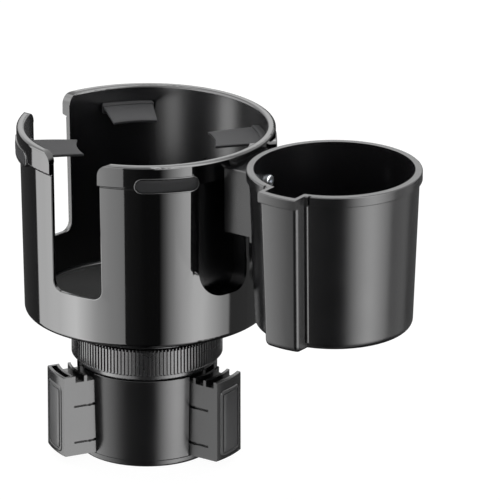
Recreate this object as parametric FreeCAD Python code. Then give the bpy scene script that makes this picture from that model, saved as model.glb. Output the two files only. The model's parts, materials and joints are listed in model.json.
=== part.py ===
import FreeCAD, Part
import math
import os

from FreeCAD import Vector

# Car cup holder. An expanding base grips the well of a car's console, a large cup stands on
# the base, and a second cup hangs beside the large one by a hook.
# Lengths are in millimetres and angles in degrees. +Z is up, +X points from the large cup to
# the second one, and the origin is the middle of the base's underside.

# Fits shared by all pieces
RUN_GAP = 0.3            # between surfaces that slide or turn past each other
SEAT_GAP = 0.15          # around a piece in its seat
BEARING_GAP = 0.08       # radial, where the scroll ring turns on its post
SCREW_GAP = 0.15         # radial, around a screw
OVERLAP = 1.0            # how deep two forms of one moulding reach into each other
CLEAR = 1.0              # how far a cut reaches past the surface it opens

# Scroll ring
RING_BOTTOM = 43.0
RING_HEIGHT = 15.6
RING_TOP = RING_BOTTOM + RING_HEIGHT
RING_DISC = 4.0
RING_WALL = 5.8
RING_LIP_PROUD = 0.1
RING_LIP_HEIGHT = 2.8
RING_LIP_ROUND = 0.8
RING_PROUD = 2.5         # of the ribs over the body below
RIB_COUNT = 126
RIB_DEPTH = 0.75
RIB_PROFILE = ((0.0, 0.0), (0.28, 0.0), (0.45, 1.0), (0.83, 1.0))   # shares of a rib's width and depth
RIB_END_SLOPE = 0.9
RIB_END_DEPTH = 0.2

# Base plate
PLATE_HEIGHT = 3.0
PLATE_INSET = 0.2
PLATE_EDGE_ROUND = 1.4

# Base body, and the post that the ring turns on
BODY_TOP_RADIUS = 32.5
BODY_DRAFT = 0.8
BODY_SEAM = 0.4          # open line under the ring
BODY_FOOT_ROUND = 0.5
BODY_RIM_ROUND = 0.3
BODY_WALL = 2.2
SCROLL_WELL_WALL = 1.4
SHOULDER_RADIUS = 9.9
POST_RADIUS = 8.95
POST_KEY_FLATS = 15.0
POST_KEY_HEIGHT = 11.3
RAIL_HEIGHTS = (10.1, 27.8)
RAIL_THICKNESS = 0.8
RAIL_DEPTH = 1.2
RAIL_SETBACK = 3.0       # from the body's outer face
BODY_TOP = RING_BOTTOM - BODY_SEAM
BODY_FOOT_RADIUS = BODY_TOP_RADIUS - BODY_DRAFT
RING_RADIUS = BODY_TOP_RADIUS + RING_PROUD
RING_INNER_RADIUS = RING_RADIUS - RING_WALL
POST_TOP = RING_BOTTOM + RING_DISC + POST_KEY_HEIGHT

# Jaws, as they stand at rest
JAW_AZIMUTHS = {"a": 0.0, "b": 240.0, "c": 120.0}
JAW_TRAVEL_IN = 12.2     # closed, the jaws are level with the ring's ribs
JAW_HALF_WIDTH = 9.4
JAW_ABOVE_PLATE = 0.7
JAW_SEAM = 0.5           # open line under the ring
JAW_FOOT_ROUND = 0.8
JAW_TOP_ROUND = 0.6
JAW_ENGAGED = 6.3        # how far the wide part reaches into the body
JAW_STEM_HALF_WIDTH = 6.0
JAW_STEM_BOTTOM = 30.0
JAW_GROOVE_HEIGHT = 1.3
JAW_KEYHOLE_RADIUS = 0.9
JAW_LIP_WALL = 1.5
JAW_PAD_HALF_WIDTH = 7.5
JAW_PAD_ABOVE_FOOT = 1.7
JAW_PAD_HEIGHT = 32.5
JAW_PAD_CORNER = 2.4
JAW_PAD_SEAT_DEPTH = 1.3
JAW_PAD_PROUD = 0.35
JAW_BOTTOM = PLATE_HEIGHT + JAW_ABOVE_PLATE
JAW_TOP = RING_BOTTOM - JAW_SEAM
JAW_RADIUS = RING_RADIUS + JAW_TRAVEL_IN
JAW_WIDE_START = BODY_TOP_RADIUS - JAW_ENGAGED

# Scroll: one spiral rib under the ring, and arc teeth on the jaws in its gaps
SCROLL_PITCH = 5.6
SCROLL_RIB = 1.4
SCROLL_RIB_AT_JAW_A = 26.5
SCROLL_INNER = 12.3
SCROLL_MARGIN = 1.3      # between the spiral's end and the wall of its well
JAW_TOOTH = 1.4
JAW_TOOTH_HEIGHT = 2.8
JAW_TOOTH_TIP_GAP = 0.7
JAW_TOOTH_CENTRE_SHIFT = 5.0
WELL_ABOVE_DECK = 0.1
JAW_TOOTH_TOP = RING_BOTTOM - JAW_TOOTH_TIP_GAP
JAW_TOOTH_DECK = JAW_TOOTH_TOP - JAW_TOOTH_HEIGHT
SCROLL_WELL_FLOOR = JAW_TOOTH_DECK + WELL_ABOVE_DECK
SCROLL_OUTER = BODY_TOP_RADIUS - SCROLL_WELL_WALL - SCROLL_MARGIN

# Socket under the large cup, keyed on the post
NECK_HEIGHT = 8.9
SOCKET_STEP = 1.6        # narrower than the ring's ribs
SOCKET_WALL = 2.2
SOCKET_SEAM = 0.4        # open line above the ring
SOCKET_BOSS_RADIUS = 12.5
SOCKET_RIB_COUNT = 6
SOCKET_RIB = 1.6
SOCKET_SCREW_BOSS_RADIUS = 3.6
SOCKET_RADIUS = RING_RADIUS - SOCKET_STEP

# Large cup
CUP_HEIGHT = 89.0
CUP_FLOOR = 2.3
CUP_WALL = 2.4
CUP_WALL_TOP_RADIUS = 57.9
CUP_DRAFT = 1.5
CUP_FOOT_ROUND = 2.5
CUP_FLOOR_ROUND = 3.0
COLLAR_HEIGHT = 10.3
COLLAR_PROUD = 1.6
COLLAR_BLEND = 0.6
COLLAR_BLEND_ROUND = 0.3
COLLAR_EDGE_ROUND = 0.8
COLLAR_GROOVE_HEIGHT = 0.7
COLLAR_GROOVE_DEPTH = 0.6
RIM_ROUND = 1.3
CUP_UNDERSIDE = RING_TOP + NECK_HEIGHT
CUP_FLOOR_TOP = CUP_UNDERSIDE + CUP_FLOOR
CUP_TOP = CUP_UNDERSIDE + CUP_HEIGHT
CUP_FOOT_RADIUS = CUP_WALL_TOP_RADIUS - CUP_DRAFT
COLLAR_RADIUS = CUP_WALL_TOP_RADIUS + COLLAR_PROUD
COLLAR_BOTTOM = CUP_TOP - COLLAR_HEIGHT

# Handle slots in the large cup: azimuth and half width
HANDLE_SLOTS = ((270.8, 13.3), (180.0, 14.0))
SLOT_ABOVE_FOOT = 22.5
SLOT_CORNER = 4.5
SLOT_MOUTH_ROUND = 5.5
SLOT_BOTTOM = CUP_UNDERSIDE + SLOT_ABOVE_FOOT

# Soft mats
MAT_THICKNESS = 1.5
MAT_MARGIN = 1.4         # between the mat's edge and the wall
MAT_CHAMFER = 1.8
MAT_EDGE = 0.4
MAT_ROUND = 0.5

# Grip tabs
TAB_AZIMUTHS = {"front_right": 315.0, "back_right": 45.0, "back_left": 135.0, "front_left": 225.0}
TAB_ABOVE_COLLAR_FOOT = 1.1
TAB_HEAD_HALF_WIDTH = 14.4
TAB_HEAD_HALF_HEIGHT = 3.0
TAB_HEAD_PROUD = 0.6
TAB_BEZEL = 0.7
TAB_BEZEL_PROUD = 0.5
TAB_NECK_HALF_WIDTH = 11.6
TAB_NECK_HALF_HEIGHT = 1.7
TAB_BAR_HALF_WIDTH = 12.1
TAB_BAR_THICKNESS = 2.8
TAB_BAR_BELOW = 2.8
TAB_BAR_ABOVE = 1.8
TAB_FLAP_ABOVE = 0.9
TAB_FLAP_THICKNESS = 1.2
TAB_FLAP_LENGTH = 23.0
TAB_FLAP_ROOT_HALF_WIDTH = 11.6
TAB_FLAP_TIP_HALF_WIDTH = 10.2
TAB_HEIGHT = COLLAR_BOTTOM + TAB_ABOVE_COLLAR_FOOT

# Dock for the second cup, on the +X side of the large cup
DOCK_HALF_ANGLE = 33.9
DOCK_DEPTH = 1.2         # below the wall's widest radius
DOCK_ABOVE_FOOT = 36.2
DOCK_LIP = 1.2
DOCK_CORNER = 2.0
POCKET_HALF_ANGLE = 29.6
POCKET_RIB_HALF_ANGLE = 1.0
POCKET_DEPTH = 7.2
POCKET_WALL = 1.8
POCKET_ABOVE_FOOT = 22.0
POCKET_BELOW_COLLAR = 0.5
POCKET_OUTER_CORNER = 13.5
POCKET_INNER_CORNER = 8.0
POCKET_ROOF = 3.0
DOCK_FLOOR_RADIUS = CUP_WALL_TOP_RADIUS - DOCK_DEPTH
DOCK_BOTTOM = CUP_UNDERSIDE + DOCK_ABOVE_FOOT
POCKET_BACK_RADIUS = DOCK_FLOOR_RADIUS - POCKET_DEPTH
POCKET_BOTTOM = CUP_UNDERSIDE + POCKET_ABOVE_FOOT
POCKET_TOP = COLLAR_BOTTOM - POCKET_BELOW_COLLAR

# Bracket between the cups, and its hook
BRACKET_HALF_WIDTH = 15.4
BRACKET_HEIGHT = 31.4
BRACKET_EDGE_ROUND = 0.8
FLANGE_THICKNESS = 1.5
FLANGE_MARGIN = 1.4
BRACKET_SCREWS_BELOW_TOP = (23.2, 8.2)
HOOK_BELOW_RIM = 5.6
HOOK_THICKNESS = 2.6
HOOK_INSET = 3.1
HOOK_ROOT = 3.0
HOOK_LIP = 2.2
HOOK_DROP = 5.2
HOOK_SIDE_GAP = 0.5
HOOK_HALF_WIDTH = BRACKET_HALF_WIDTH - HOOK_INSET
HOOK_LOW = CUP_TOP - HOOK_BELOW_RIM
HOOK_HIGH = HOOK_LOW + HOOK_THICKNESS
BRACKET_HIGH = HOOK_LOW + RUN_GAP
BRACKET_LOW = BRACKET_HIGH - BRACKET_HEIGHT

# Second cup
CUP_GAP = 8.0            # between the dock's floor and the second cup's rim
SECOND_BELOW_RIM = 0.3   # of the large cup
SECOND_HEIGHT = 74.7
SECOND_FLOOR = 2.3
SECOND_WALL = 2.0
SECOND_WALL_TOP_RADIUS = 38.6
SECOND_DRAFT = 2.8
SECOND_FOOT_ROUND = 3.8
SECOND_RIM_PROUD = 1.3
SECOND_RIM_HEIGHT = 4.8
SECOND_RIM_FOOT_ROUND = 0.5
SECOND_RIM_ROUND = 0.7
BULGE_PROUD = 7.2
BULGE_HALF_WIDTH = 10.2
BULGE_FOOT_HALF_WIDTH = 9.0
BULGE_CORNER = 2.2
BEAD_GAP = 0.1           # from the bulge's side to the bead's middle
BEAD_RADIUS = 1.2
BEAD_BELOW_RIM = 3.0
NOTCH_HALF_WIDTH = 0.5
SECOND_TOP = CUP_TOP - SECOND_BELOW_RIM
SECOND_UNDERSIDE = SECOND_TOP - SECOND_HEIGHT
SECOND_FLOOR_TOP = SECOND_UNDERSIDE + SECOND_FLOOR
SECOND_FOOT_RADIUS = SECOND_WALL_TOP_RADIUS - SECOND_DRAFT
SECOND_RIM_RADIUS = SECOND_WALL_TOP_RADIUS + SECOND_RIM_PROUD
SECOND_X = DOCK_FLOOR_RADIUS + CUP_GAP + SECOND_RIM_RADIUS

# Fasteners
BOLT_RADIUS = 2.5
BOLT_HEAD_RADIUS = 4.6
BOLT_HEAD_HEIGHT = 3.3
BOLT_HEAD_ROUND = 0.6
BOLT_LENGTH = 26.0
BOLT_SUNK = 0.4          # how deep the head lies below the socket's top
BOLT_KEY_FLATS = 4.0
BOLT_KEY_DEPTH = 2.0
WASHER_RADIUS = 8.2
WASHER_THICKNESS = 1.0
SCREW_RADIUS = 1.4
SCREW_TIP_ROUND = 0.6
SCREW_HEAD_RADIUS = 2.8
SCREW_HEAD_HEIGHT = 1.6
SCREW_HEAD_ROUND = 0.7
SCREW_RECESS_RADIUS = 0.8
SCREW_RECESS_DEPTH = 0.8
SCREW_BOSS_RADIUS = 4.0
PLATE_SCREW_LENGTH = 12.0
BRACKET_SCREW_LENGTH = 9.0
SPOT_FACE_DEPTH = 0.2
FLOOR_SCREW_AZIMUTHS = (30.0, 150.0, 270.0)
FLOOR_SCREW_LENGTH = 9.0
FLOOR_SCREW_CONE = 1.4
BOLT_SEAT = CUP_UNDERSIDE - BOLT_SUNK - BOLT_HEAD_HEIGHT - WASHER_THICKNESS

UP = Vector(0, 0, 1)
OUTWARD = Vector(1, 0, 0)
ORIGIN = Vector(0, 0, 0)
FAR = 200.0              # longer than any cut needs
QUARTER = 90.0           # of a turn


# Shapes that several pieces use

def rounded_wire(corners, place):
    """A closed outline through corners (u, v, radius), each rounded by its own radius."""
    flat = [Vector(u, v, 0) for u, v, _ in corners]
    starts, middles, ends = [], [], []
    for index, (_, _, radius) in enumerate(corners):
        here = flat[index]
        back = (flat[index - 1] - here).normalize()
        ahead = (flat[(index + 1) % len(flat)] - here).normalize()
        half = back.getAngle(ahead) / 2
        reach = radius / math.tan(half)
        bisector = (back + ahead).normalize() if radius else ahead
        starts.append(here + back * reach)
        middles.append(here + bisector * (radius / math.sin(half) - radius))
        ends.append(here + ahead * reach)
    edges = []
    for index, (_, _, radius) in enumerate(corners):
        if radius:
            arc = [place(p.x, p.y) for p in (starts[index], middles[index], ends[index])]
            edges.append(Part.Arc(*arc).toShape())
        following = (index + 1) % len(corners)
        if ends[index].distanceToPoint(starts[following]) > 1e-6:
            line = [place(p.x, p.y) for p in (ends[index], starts[following])]
            edges.append(Part.LineSegment(*line).toShape())
    return Part.Wire(Part.__sortEdges__(edges))


def turned(corners):
    """A solid of revolution about Z from an outline of (radius, height, rounding)."""
    wire = rounded_wire(corners, lambda u, v: Vector(u, 0, v))
    return Part.Face(wire).revolve(ORIGIN, UP, 360)


def window(corners, azimuth=0.0):
    """An outline of (sideways, height, rounding), pushed outwards from the Z axis."""
    wire = rounded_wire(corners, lambda u, v: Vector(0, u, v))
    return about_z(Part.Face(wire).extrude(OUTWARD * FAR), azimuth)


def window_box(half_width, low, high, rounding):
    """The corners of an upright rounded rectangle for window()."""
    return [(-half_width, low, rounding), (half_width, low, rounding),
            (half_width, high, rounding), (-half_width, high, rounding)]


def about_z(shape, azimuth):
    """A copy of a shape, turned about the Z axis."""
    copy = shape.copy()
    copy.rotate(ORIGIN, UP, azimuth)
    return copy


def moved(shape, x=0.0, y=0.0, z=0.0):
    """A copy of a shape, shifted."""
    copy = shape.copy()
    copy.translate(Vector(x, y, z))
    return copy


def at_azimuths(radius, azimuths):
    """The plan places (x, y) at one radius and several azimuths."""
    return [(radius * math.cos(math.radians(a)), radius * math.sin(math.radians(a))) for a in azimuths]


def disc(radius, low, high):
    """An upright cylinder about the Z axis."""
    return Part.makeCylinder(radius, high - low, Vector(0, 0, low))


def tube(inner, outer, low=0.0, high=FAR):
    """An upright tube about the Z axis."""
    return disc(outer, low, high).cut(disc(inner, low, high))


def sector(inner, outer, low, high, start, end):
    """A part of a tube between two azimuths."""
    wedge = Part.makeCylinder(outer, high - low, Vector(0, 0, low), UP, end - start)
    return about_z(wedge.cut(disc(inner, low, high)), start)


def bar(near, far, half_width, low, high, azimuth=0.0):
    """A box that points outwards along an azimuth."""
    box = Part.makeBox(far - near, 2 * half_width, high - low, Vector(near, -half_width, low))
    return about_z(box, azimuth)


def level_rod(radius, start, end, height):
    """A level cylinder along X."""
    return Part.makeCylinder(radius, end - start, Vector(start, 0, height), OUTWARD)


def hexagon(flats, low, high):
    """An upright hexagonal bar, given its width across flats."""
    corners = at_azimuths(flats / math.sqrt(3), [60 * i for i in range(7)])
    points = [Vector(x, y, low) for x, y in corners]
    return Part.Face(Part.makePolygon(points)).extrude(Vector(0, 0, high - low))


def fuse_all(shapes):
    """All shapes as one, with needless seams removed."""
    return shapes[0].multiFuse(shapes[1:]).removeSplitter()


def radial_edges(shape, height):
    """The straight level edges of a shape at one height that point at the Z axis."""
    found = []
    for edge in shape.Edges:
        if not isinstance(edge.Curve, Part.Line):
            continue
        first, last = edge.Vertexes[0].Point, edge.Vertexes[1].Point
        if abs(first.z - height) > 0.01 or abs(last.z - height) > 0.01:
            continue
        if Vector(first.x, first.y, 0).getAngle(Vector(last.x, last.y, 0)) < 0.01:
            found.append(edge)
    return found


def azimuth_of(edge):
    """The azimuth of an edge's middle, from -180 to 180."""
    middle = edge.BoundBox.Center
    return math.degrees(math.atan2(middle.y, middle.x))


def wall_radius(z, foot, foot_z, top, top_z):
    """The radius, or half width, of a tapered wall at a height."""
    return foot + (top - foot) * (z - foot_z) / (top_z - foot_z)


# Base

def base_plate():
    """The round plate that closes the base from below, with sunk holes for three screws."""
    radius = BODY_FOOT_RADIUS - PLATE_INSET
    plate = turned([(0, 0, 0), (radius, 0, PLATE_EDGE_ROUND), (radius, PLATE_HEIGHT, 0),
                    (0, PLATE_HEIGHT, 0)])
    for x, y in plate_screw_places():
        head = disc(SCREW_HEAD_RADIUS + SCREW_GAP, 0, SCREW_HEAD_HEIGHT + SCREW_GAP)
        shank = disc(SCREW_RADIUS + SCREW_GAP, 0, PLATE_HEIGHT)
        plate = plate.cut(moved(head.fuse(shank), x, y))
    return plate


def core_radii():
    """The inner and outer radius of the hollows inside the body, between the jaw slots."""
    return JAW_WIDE_START - JAW_TRAVEL_IN, BODY_FOOT_RADIUS - BODY_WALL


def plate_screw_places():
    """The middles of the three plate screws, one between each two jaws."""
    return at_azimuths(sum(core_radii()) / 2, [azimuth + 60 for azimuth in JAW_AZIMUTHS.values()])


def base_body():
    """The round body with three jaw slots, the scroll's well and the post that the ring turns on."""
    well_radius = BODY_TOP_RADIUS - SCROLL_WELL_WALL
    shoulder_top = RING_BOTTOM - RUN_GAP
    body = turned([(0, PLATE_HEIGHT, 0), (BODY_FOOT_RADIUS, PLATE_HEIGHT, BODY_FOOT_ROUND),
                   (BODY_TOP_RADIUS, BODY_TOP, BODY_RIM_ROUND), (well_radius, BODY_TOP, 0),
                   (well_radius, SCROLL_WELL_FLOOR, 0), (SHOULDER_RADIUS, SCROLL_WELL_FLOOR, 0),
                   (SHOULDER_RADIUS, shoulder_top, 0), (0, shoulder_top, 0)])
    post = disc(POST_RADIUS, SCROLL_WELL_FLOOR, RING_BOTTOM + RING_DISC)
    body = fuse_all([body, post, hexagon(POST_KEY_FLATS, SCROLL_WELL_FLOOR, POST_TOP)])
    slot_start = JAW_WIDE_START - JAW_TRAVEL_IN - RUN_GAP
    slot_half = JAW_HALF_WIDTH + RUN_GAP
    for azimuth in JAW_AZIMUTHS.values():
        body = body.cut(bar(slot_start, FAR, slot_half, 0, FAR, azimuth))
        stem = bar(0, slot_start, JAW_STEM_HALF_WIDTH + RUN_GAP, JAW_STEM_BOTTOM - RUN_GAP,
                   shoulder_top, azimuth)
        body = body.cut(stem.cut(disc(SHOULDER_RADIUS, 0, FAR)))
    for azimuth in JAW_AZIMUTHS.values():
        for side in (1, -1):
            for height in RAIL_HEIGHTS:
                body = body.fuse(body_rail(slot_start, slot_half, side, height, azimuth))
    body = body.cut(fuse_all([core_pocket(azimuth + 60) for azimuth in JAW_AZIMUTHS.values()]))
    for x, y in plate_screw_places():
        body = body.fuse(moved(disc(SCREW_BOSS_RADIUS, PLATE_HEIGHT, SCROLL_WELL_FLOOR - BODY_WALL), x, y))
    for x, y in plate_screw_places():
        hole_end = SCREW_HEAD_HEIGHT + PLATE_SCREW_LENGTH + CLEAR
        body = body.cut(moved(disc(SCREW_RADIUS + SCREW_GAP, 0, hole_end), x, y))
    bolt_hole = disc(BOLT_RADIUS + SCREW_GAP, BOLT_SEAT - BOLT_LENGTH, FAR)
    return body.cut(bolt_hole).removeSplitter()


def body_rail(start, wall, side, height, azimuth):
    """A rail on a jaw slot's side wall that runs in the groove of the jaw."""
    near = wall - RAIL_DEPTH if side > 0 else -wall - OVERLAP / 2
    length = BODY_FOOT_RADIUS - RAIL_SETBACK - start
    place = Vector(start, near, height - RAIL_THICKNESS / 2)
    return about_z(Part.makeBox(length, RAIL_DEPTH + OVERLAP / 2, RAIL_THICKNESS, place), azimuth)


def core_pocket(azimuth):
    """The hollow inside the body between two jaw slots, open to the plate."""
    inner, outer = core_radii()
    ring = tube(inner, outer, 0, SCROLL_WELL_FLOOR - BODY_WALL)
    solid = ring.common(bar(0, FAR, FAR, 0, FAR, azimuth))
    for side in (60, -60):
        keep = JAW_HALF_WIDTH + RUN_GAP + BODY_WALL
        solid = solid.cut(bar(-FAR, FAR, keep, 0, FAR, azimuth + side))
    return solid


# Jaws

def jaw_outline(offset):
    """The jaw's outer form as a round solid, grown by an offset."""
    radius, low, high = JAW_RADIUS + offset, JAW_BOTTOM - offset, JAW_TOP + offset
    foot_round = max(JAW_FOOT_ROUND + offset, 0)
    return turned([(0, low, 0), (radius, low, foot_round), (radius, high, JAW_TOP_ROUND), (0, high, 0)])


def jaw_pad_window(shrink):
    """The rounded opening in a jaw's outer face that holds its pad, made smaller by a gap."""
    low = JAW_BOTTOM + JAW_PAD_ABOVE_FOOT
    return window(window_box(JAW_PAD_HALF_WIDTH - shrink, low + shrink, low + JAW_PAD_HEIGHT - shrink,
                             JAW_PAD_CORNER))


def stem_start():
    """Where a jaw's narrow stem begins, so that it just clears the post when the jaw is in."""
    return SHOULDER_RADIUS + JAW_TRAVEL_IN + RUN_GAP


def tooth_radii(azimuth):
    """The radii at rest of a jaw's teeth, in the gaps of the spiral. The last one is its outer lip's."""
    middle = SCROLL_RIB_AT_JAW_A - SCROLL_PITCH / 2 - SCROLL_PITCH * azimuth / 360
    first = stem_start() + JAW_TOOTH / 2
    middle += SCROLL_PITCH * math.ceil((first - middle) / SCROLL_PITCH)
    radii = []
    while middle - JAW_TOOTH / 2 < JAW_RADIUS - JAW_LIP_WALL:
        radii.append(middle)
        middle += SCROLL_PITCH
    return radii


def tooth_arc(radius, half_width):
    """An arc tooth. Its curve is a little tighter than its rest radius, to suit the whole travel."""
    middle = radius - JAW_TOOTH_CENTRE_SHIFT
    arc = tube(middle - JAW_TOOTH / 2, middle + JAW_TOOTH / 2, JAW_TOOTH_DECK - OVERLAP, JAW_TOOTH_TOP)
    return moved(arc, x=JAW_TOOTH_CENTRE_SHIFT).common(bar(0, FAR, half_width, 0, FAR))


def lip_pocket(lip_face):
    """The curved hollow in a jaw's outer lip, between a tooth's arc and the outer wall."""
    half_width = JAW_HALF_WIDTH - JAW_LIP_WALL
    hollow = disc(JAW_RADIUS - JAW_LIP_WALL, JAW_TOOTH_DECK, FAR).common(bar(0, FAR, half_width, 0, FAR))
    tooth = disc(lip_face + JAW_TOOTH - JAW_TOOTH_CENTRE_SHIFT, 0, FAR)
    return hollow.cut(moved(tooth, x=JAW_TOOTH_CENTRE_SHIFT))


def jaw(azimuth):
    """One sliding jaw: a wide block, a stem towards the post, arc teeth on top and side grooves."""
    block = bar(JAW_WIDE_START, FAR, JAW_HALF_WIDTH, 0, FAR).common(jaw_outline(0))
    stem = bar(stem_start(), JAW_WIDE_START + OVERLAP, JAW_STEM_HALF_WIDTH, JAW_STEM_BOTTOM, JAW_TOOTH_DECK)
    radii = tooth_radii(azimuth)
    lip_face = radii.pop() - JAW_TOOTH / 2
    well = disc(lip_face - JAW_TOOTH_CENTRE_SHIFT, JAW_TOOTH_DECK, FAR)
    shapes = [block.cut(moved(well, x=JAW_TOOTH_CENTRE_SHIFT)), stem]
    for radius in radii:
        on_stem = radius < JAW_WIDE_START + JAW_HALF_WIDTH / 4
        shapes.append(tooth_arc(radius, JAW_STEM_HALF_WIDTH if on_stem else JAW_HALF_WIDTH))
    shape = fuse_all(shapes)
    if JAW_RADIUS - lip_face > JAW_TOOTH + 2 * JAW_LIP_WALL:
        shape = shape.cut(lip_pocket(lip_face))
    shape = shape.cut(jaw_pad_window(0).cut(jaw_outline(-JAW_PAD_SEAT_DEPTH)))
    for height in RAIL_HEIGHTS:
        for side in (1, -1):
            shape = shape.cut(jaw_groove(height, side))
    return about_z(shape, azimuth)


def jaw_groove(height, side):
    """A guide groove in a jaw's side face, with a small keyhole where the body's rail enters."""
    end = BODY_FOOT_RADIUS - RAIL_SETBACK + JAW_TRAVEL_IN + RUN_GAP
    near = JAW_HALF_WIDTH - RAIL_DEPTH if side > 0 else -JAW_HALF_WIDTH - CLEAR
    depth = RAIL_DEPTH + CLEAR
    groove = Part.makeBox(end, depth, JAW_GROOVE_HEIGHT, Vector(0, near, height - JAW_GROOVE_HEIGHT / 2))
    place = Vector(BODY_TOP_RADIUS + JAW_KEYHOLE_RADIUS, near, height)
    return groove.fuse(Part.makeCylinder(JAW_KEYHOLE_RADIUS, depth, place, Vector(0, 1, 0)))


def jaw_pad(azimuth):
    """The rubber pad set into a jaw's outer face."""
    pad = jaw_pad_window(SEAT_GAP).common(jaw_outline(JAW_PAD_PROUD))
    return about_z(pad.cut(jaw_outline(SEAT_GAP - JAW_PAD_SEAT_DEPTH)), azimuth)


# Scroll ring

def spiral_side(offset, first, last):
    """One side of the spiral rib in plan: quarter circles about the corners of a small square."""
    step = SCROLL_PITCH / 4
    arcs = []
    for quarter in range(first, last):
        start, middle, end = (math.radians(QUARTER * (quarter + part)) for part in (0, 0.5, 1))
        corner = math.radians(QUARTER * (quarter - 0.5))
        centre_x = math.sqrt(0.5) * step * math.cos(corner)
        centre_y = math.sqrt(0.5) * step * math.sin(corner)
        radius = SCROLL_RIB_AT_JAW_A - step * (quarter + 0.5) + offset
        points = [Vector(centre_x + radius * math.cos(a), centre_y + radius * math.sin(a), 0)
                  for a in (start, middle, end)]
        arcs.append(points)
    return arcs


def spiral_rib():
    """The rib under the scroll ring that drives the jaws' teeth in and out."""
    step = SCROLL_PITCH / 4
    first = -math.floor((SCROLL_OUTER - SCROLL_RIB_AT_JAW_A) / step)
    last = math.floor((SCROLL_RIB_AT_JAW_A - SCROLL_INNER) / step)
    outer = spiral_side(SCROLL_RIB / 2, first, last)
    inner = spiral_side(-SCROLL_RIB / 2, first, last)
    edges = [Part.Arc(*points).toShape() for points in outer + inner]
    edges.append(Part.LineSegment(outer[0][0], inner[0][0]).toShape())
    edges.append(Part.LineSegment(outer[-1][-1], inner[-1][-1]).toShape())
    low = SCROLL_WELL_FLOOR + RUN_GAP
    face = Part.Face(Part.Wire(Part.__sortEdges__(edges)))
    return moved(face.extrude(UP * (RING_BOTTOM + OVERLAP / 2 - low)), z=low)


def knurl():
    """The ribbed band: flat-topped ribs all round, sloped at both ends."""
    valley = RING_RADIUS - RIB_DEPTH
    points = []
    for index in range(RIB_COUNT):
        for share, rise in RIB_PROFILE:
            angle = 2 * math.pi * (index + share) / RIB_COUNT
            radius = valley + rise * RIB_DEPTH
            points.append(Vector(radius * math.cos(angle), radius * math.sin(angle), 0))
    points.append(points[0])
    low = RING_BOTTOM + RING_LIP_HEIGHT
    band = moved(Part.Face(Part.makePolygon(points)).extrude(UP * (RING_TOP - low)), z=low)
    tip, full = valley - RIB_END_DEPTH, RING_RADIUS + CLEAR / 10
    ends = turned([(0, low, 0), (tip, low, 0), (full, low + RIB_END_SLOPE, 0),
                   (full, RING_TOP - RIB_END_SLOPE, 0), (tip, RING_TOP, 0), (0, RING_TOP, 0)])
    return band.common(ends)


def scroll_ring():
    """The knurled ring that is turned by hand, with the spiral under its disc."""
    lip_radius = BODY_TOP_RADIUS + RING_LIP_PROUD
    lip_top = RING_BOTTOM + RING_LIP_HEIGHT + OVERLAP
    lip = turned([(0, RING_BOTTOM, 0), (lip_radius, RING_BOTTOM, RING_LIP_ROUND), (lip_radius, lip_top, 0),
                  (0, lip_top, 0)])
    ring = fuse_all([lip, knurl()])
    ring = ring.cut(disc(RING_INNER_RADIUS, RING_BOTTOM + RING_DISC, FAR))
    ring = ring.fuse(spiral_rib())
    return ring.cut(disc(POST_RADIUS + BEARING_GAP, 0, FAR)).removeSplitter()


# Socket between the post and the large cup

def cup_socket():
    """The flanged socket that is keyed on the post, bolted to it and screwed to the large cup."""
    skirt_low = RING_TOP + SOCKET_SEAM
    flange_low = CUP_UNDERSIDE - SOCKET_WALL
    flange = disc(SOCKET_RADIUS, flange_low, CUP_UNDERSIDE)
    skirt = tube(SOCKET_RADIUS - SOCKET_WALL, SOCKET_RADIUS, skirt_low, CUP_UNDERSIDE)
    boss = disc(SOCKET_BOSS_RADIUS, RING_BOTTOM + RING_DISC + RUN_GAP, CUP_UNDERSIDE)
    shapes = [flange, skirt, boss]
    for index in range(SOCKET_RIB_COUNT):
        shapes.append(bar(SOCKET_BOSS_RADIUS - OVERLAP, SOCKET_RADIUS - OVERLAP, SOCKET_RIB / 2,
                          skirt_low, CUP_UNDERSIDE, 360 * index / SOCKET_RIB_COUNT))
    for x, y in floor_screw_places():
        boss_low = CUP_FLOOR_TOP - FLOOR_SCREW_LENGTH - SOCKET_WALL
        shapes.append(moved(disc(SOCKET_SCREW_BOSS_RADIUS, boss_low, CUP_UNDERSIDE), x, y))
    shape = fuse_all(shapes)
    shape = shape.cut(disc(WASHER_RADIUS + RUN_GAP, BOLT_SEAT, FAR))
    shape = shape.cut(disc(BOLT_RADIUS + SCREW_GAP, 0, FAR))
    shape = shape.cut(hexagon(POST_KEY_FLATS + 2 * SEAT_GAP, 0, POST_TOP + RUN_GAP))
    for x, y in floor_screw_places():
        hole = disc(SCREW_RADIUS + SCREW_GAP, CUP_FLOOR_TOP - FLOOR_SCREW_LENGTH - CLEAR, FAR)
        shape = shape.cut(moved(hole, x, y))
    return shape.removeSplitter()


def floor_screw_places():
    """The middles of the three screws between the large cup's floor and the socket."""
    return at_azimuths((SOCKET_BOSS_RADIUS + SOCKET_RADIUS - SOCKET_WALL) / 2, FLOOR_SCREW_AZIMUTHS)


# Large cup

def cup_inner_radius(z):
    """The radius of the large cup's inner wall at a height."""
    return wall_radius(z, CUP_FOOT_RADIUS, CUP_UNDERSIDE, CUP_WALL_TOP_RADIUS, CUP_TOP) - CUP_WALL


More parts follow.
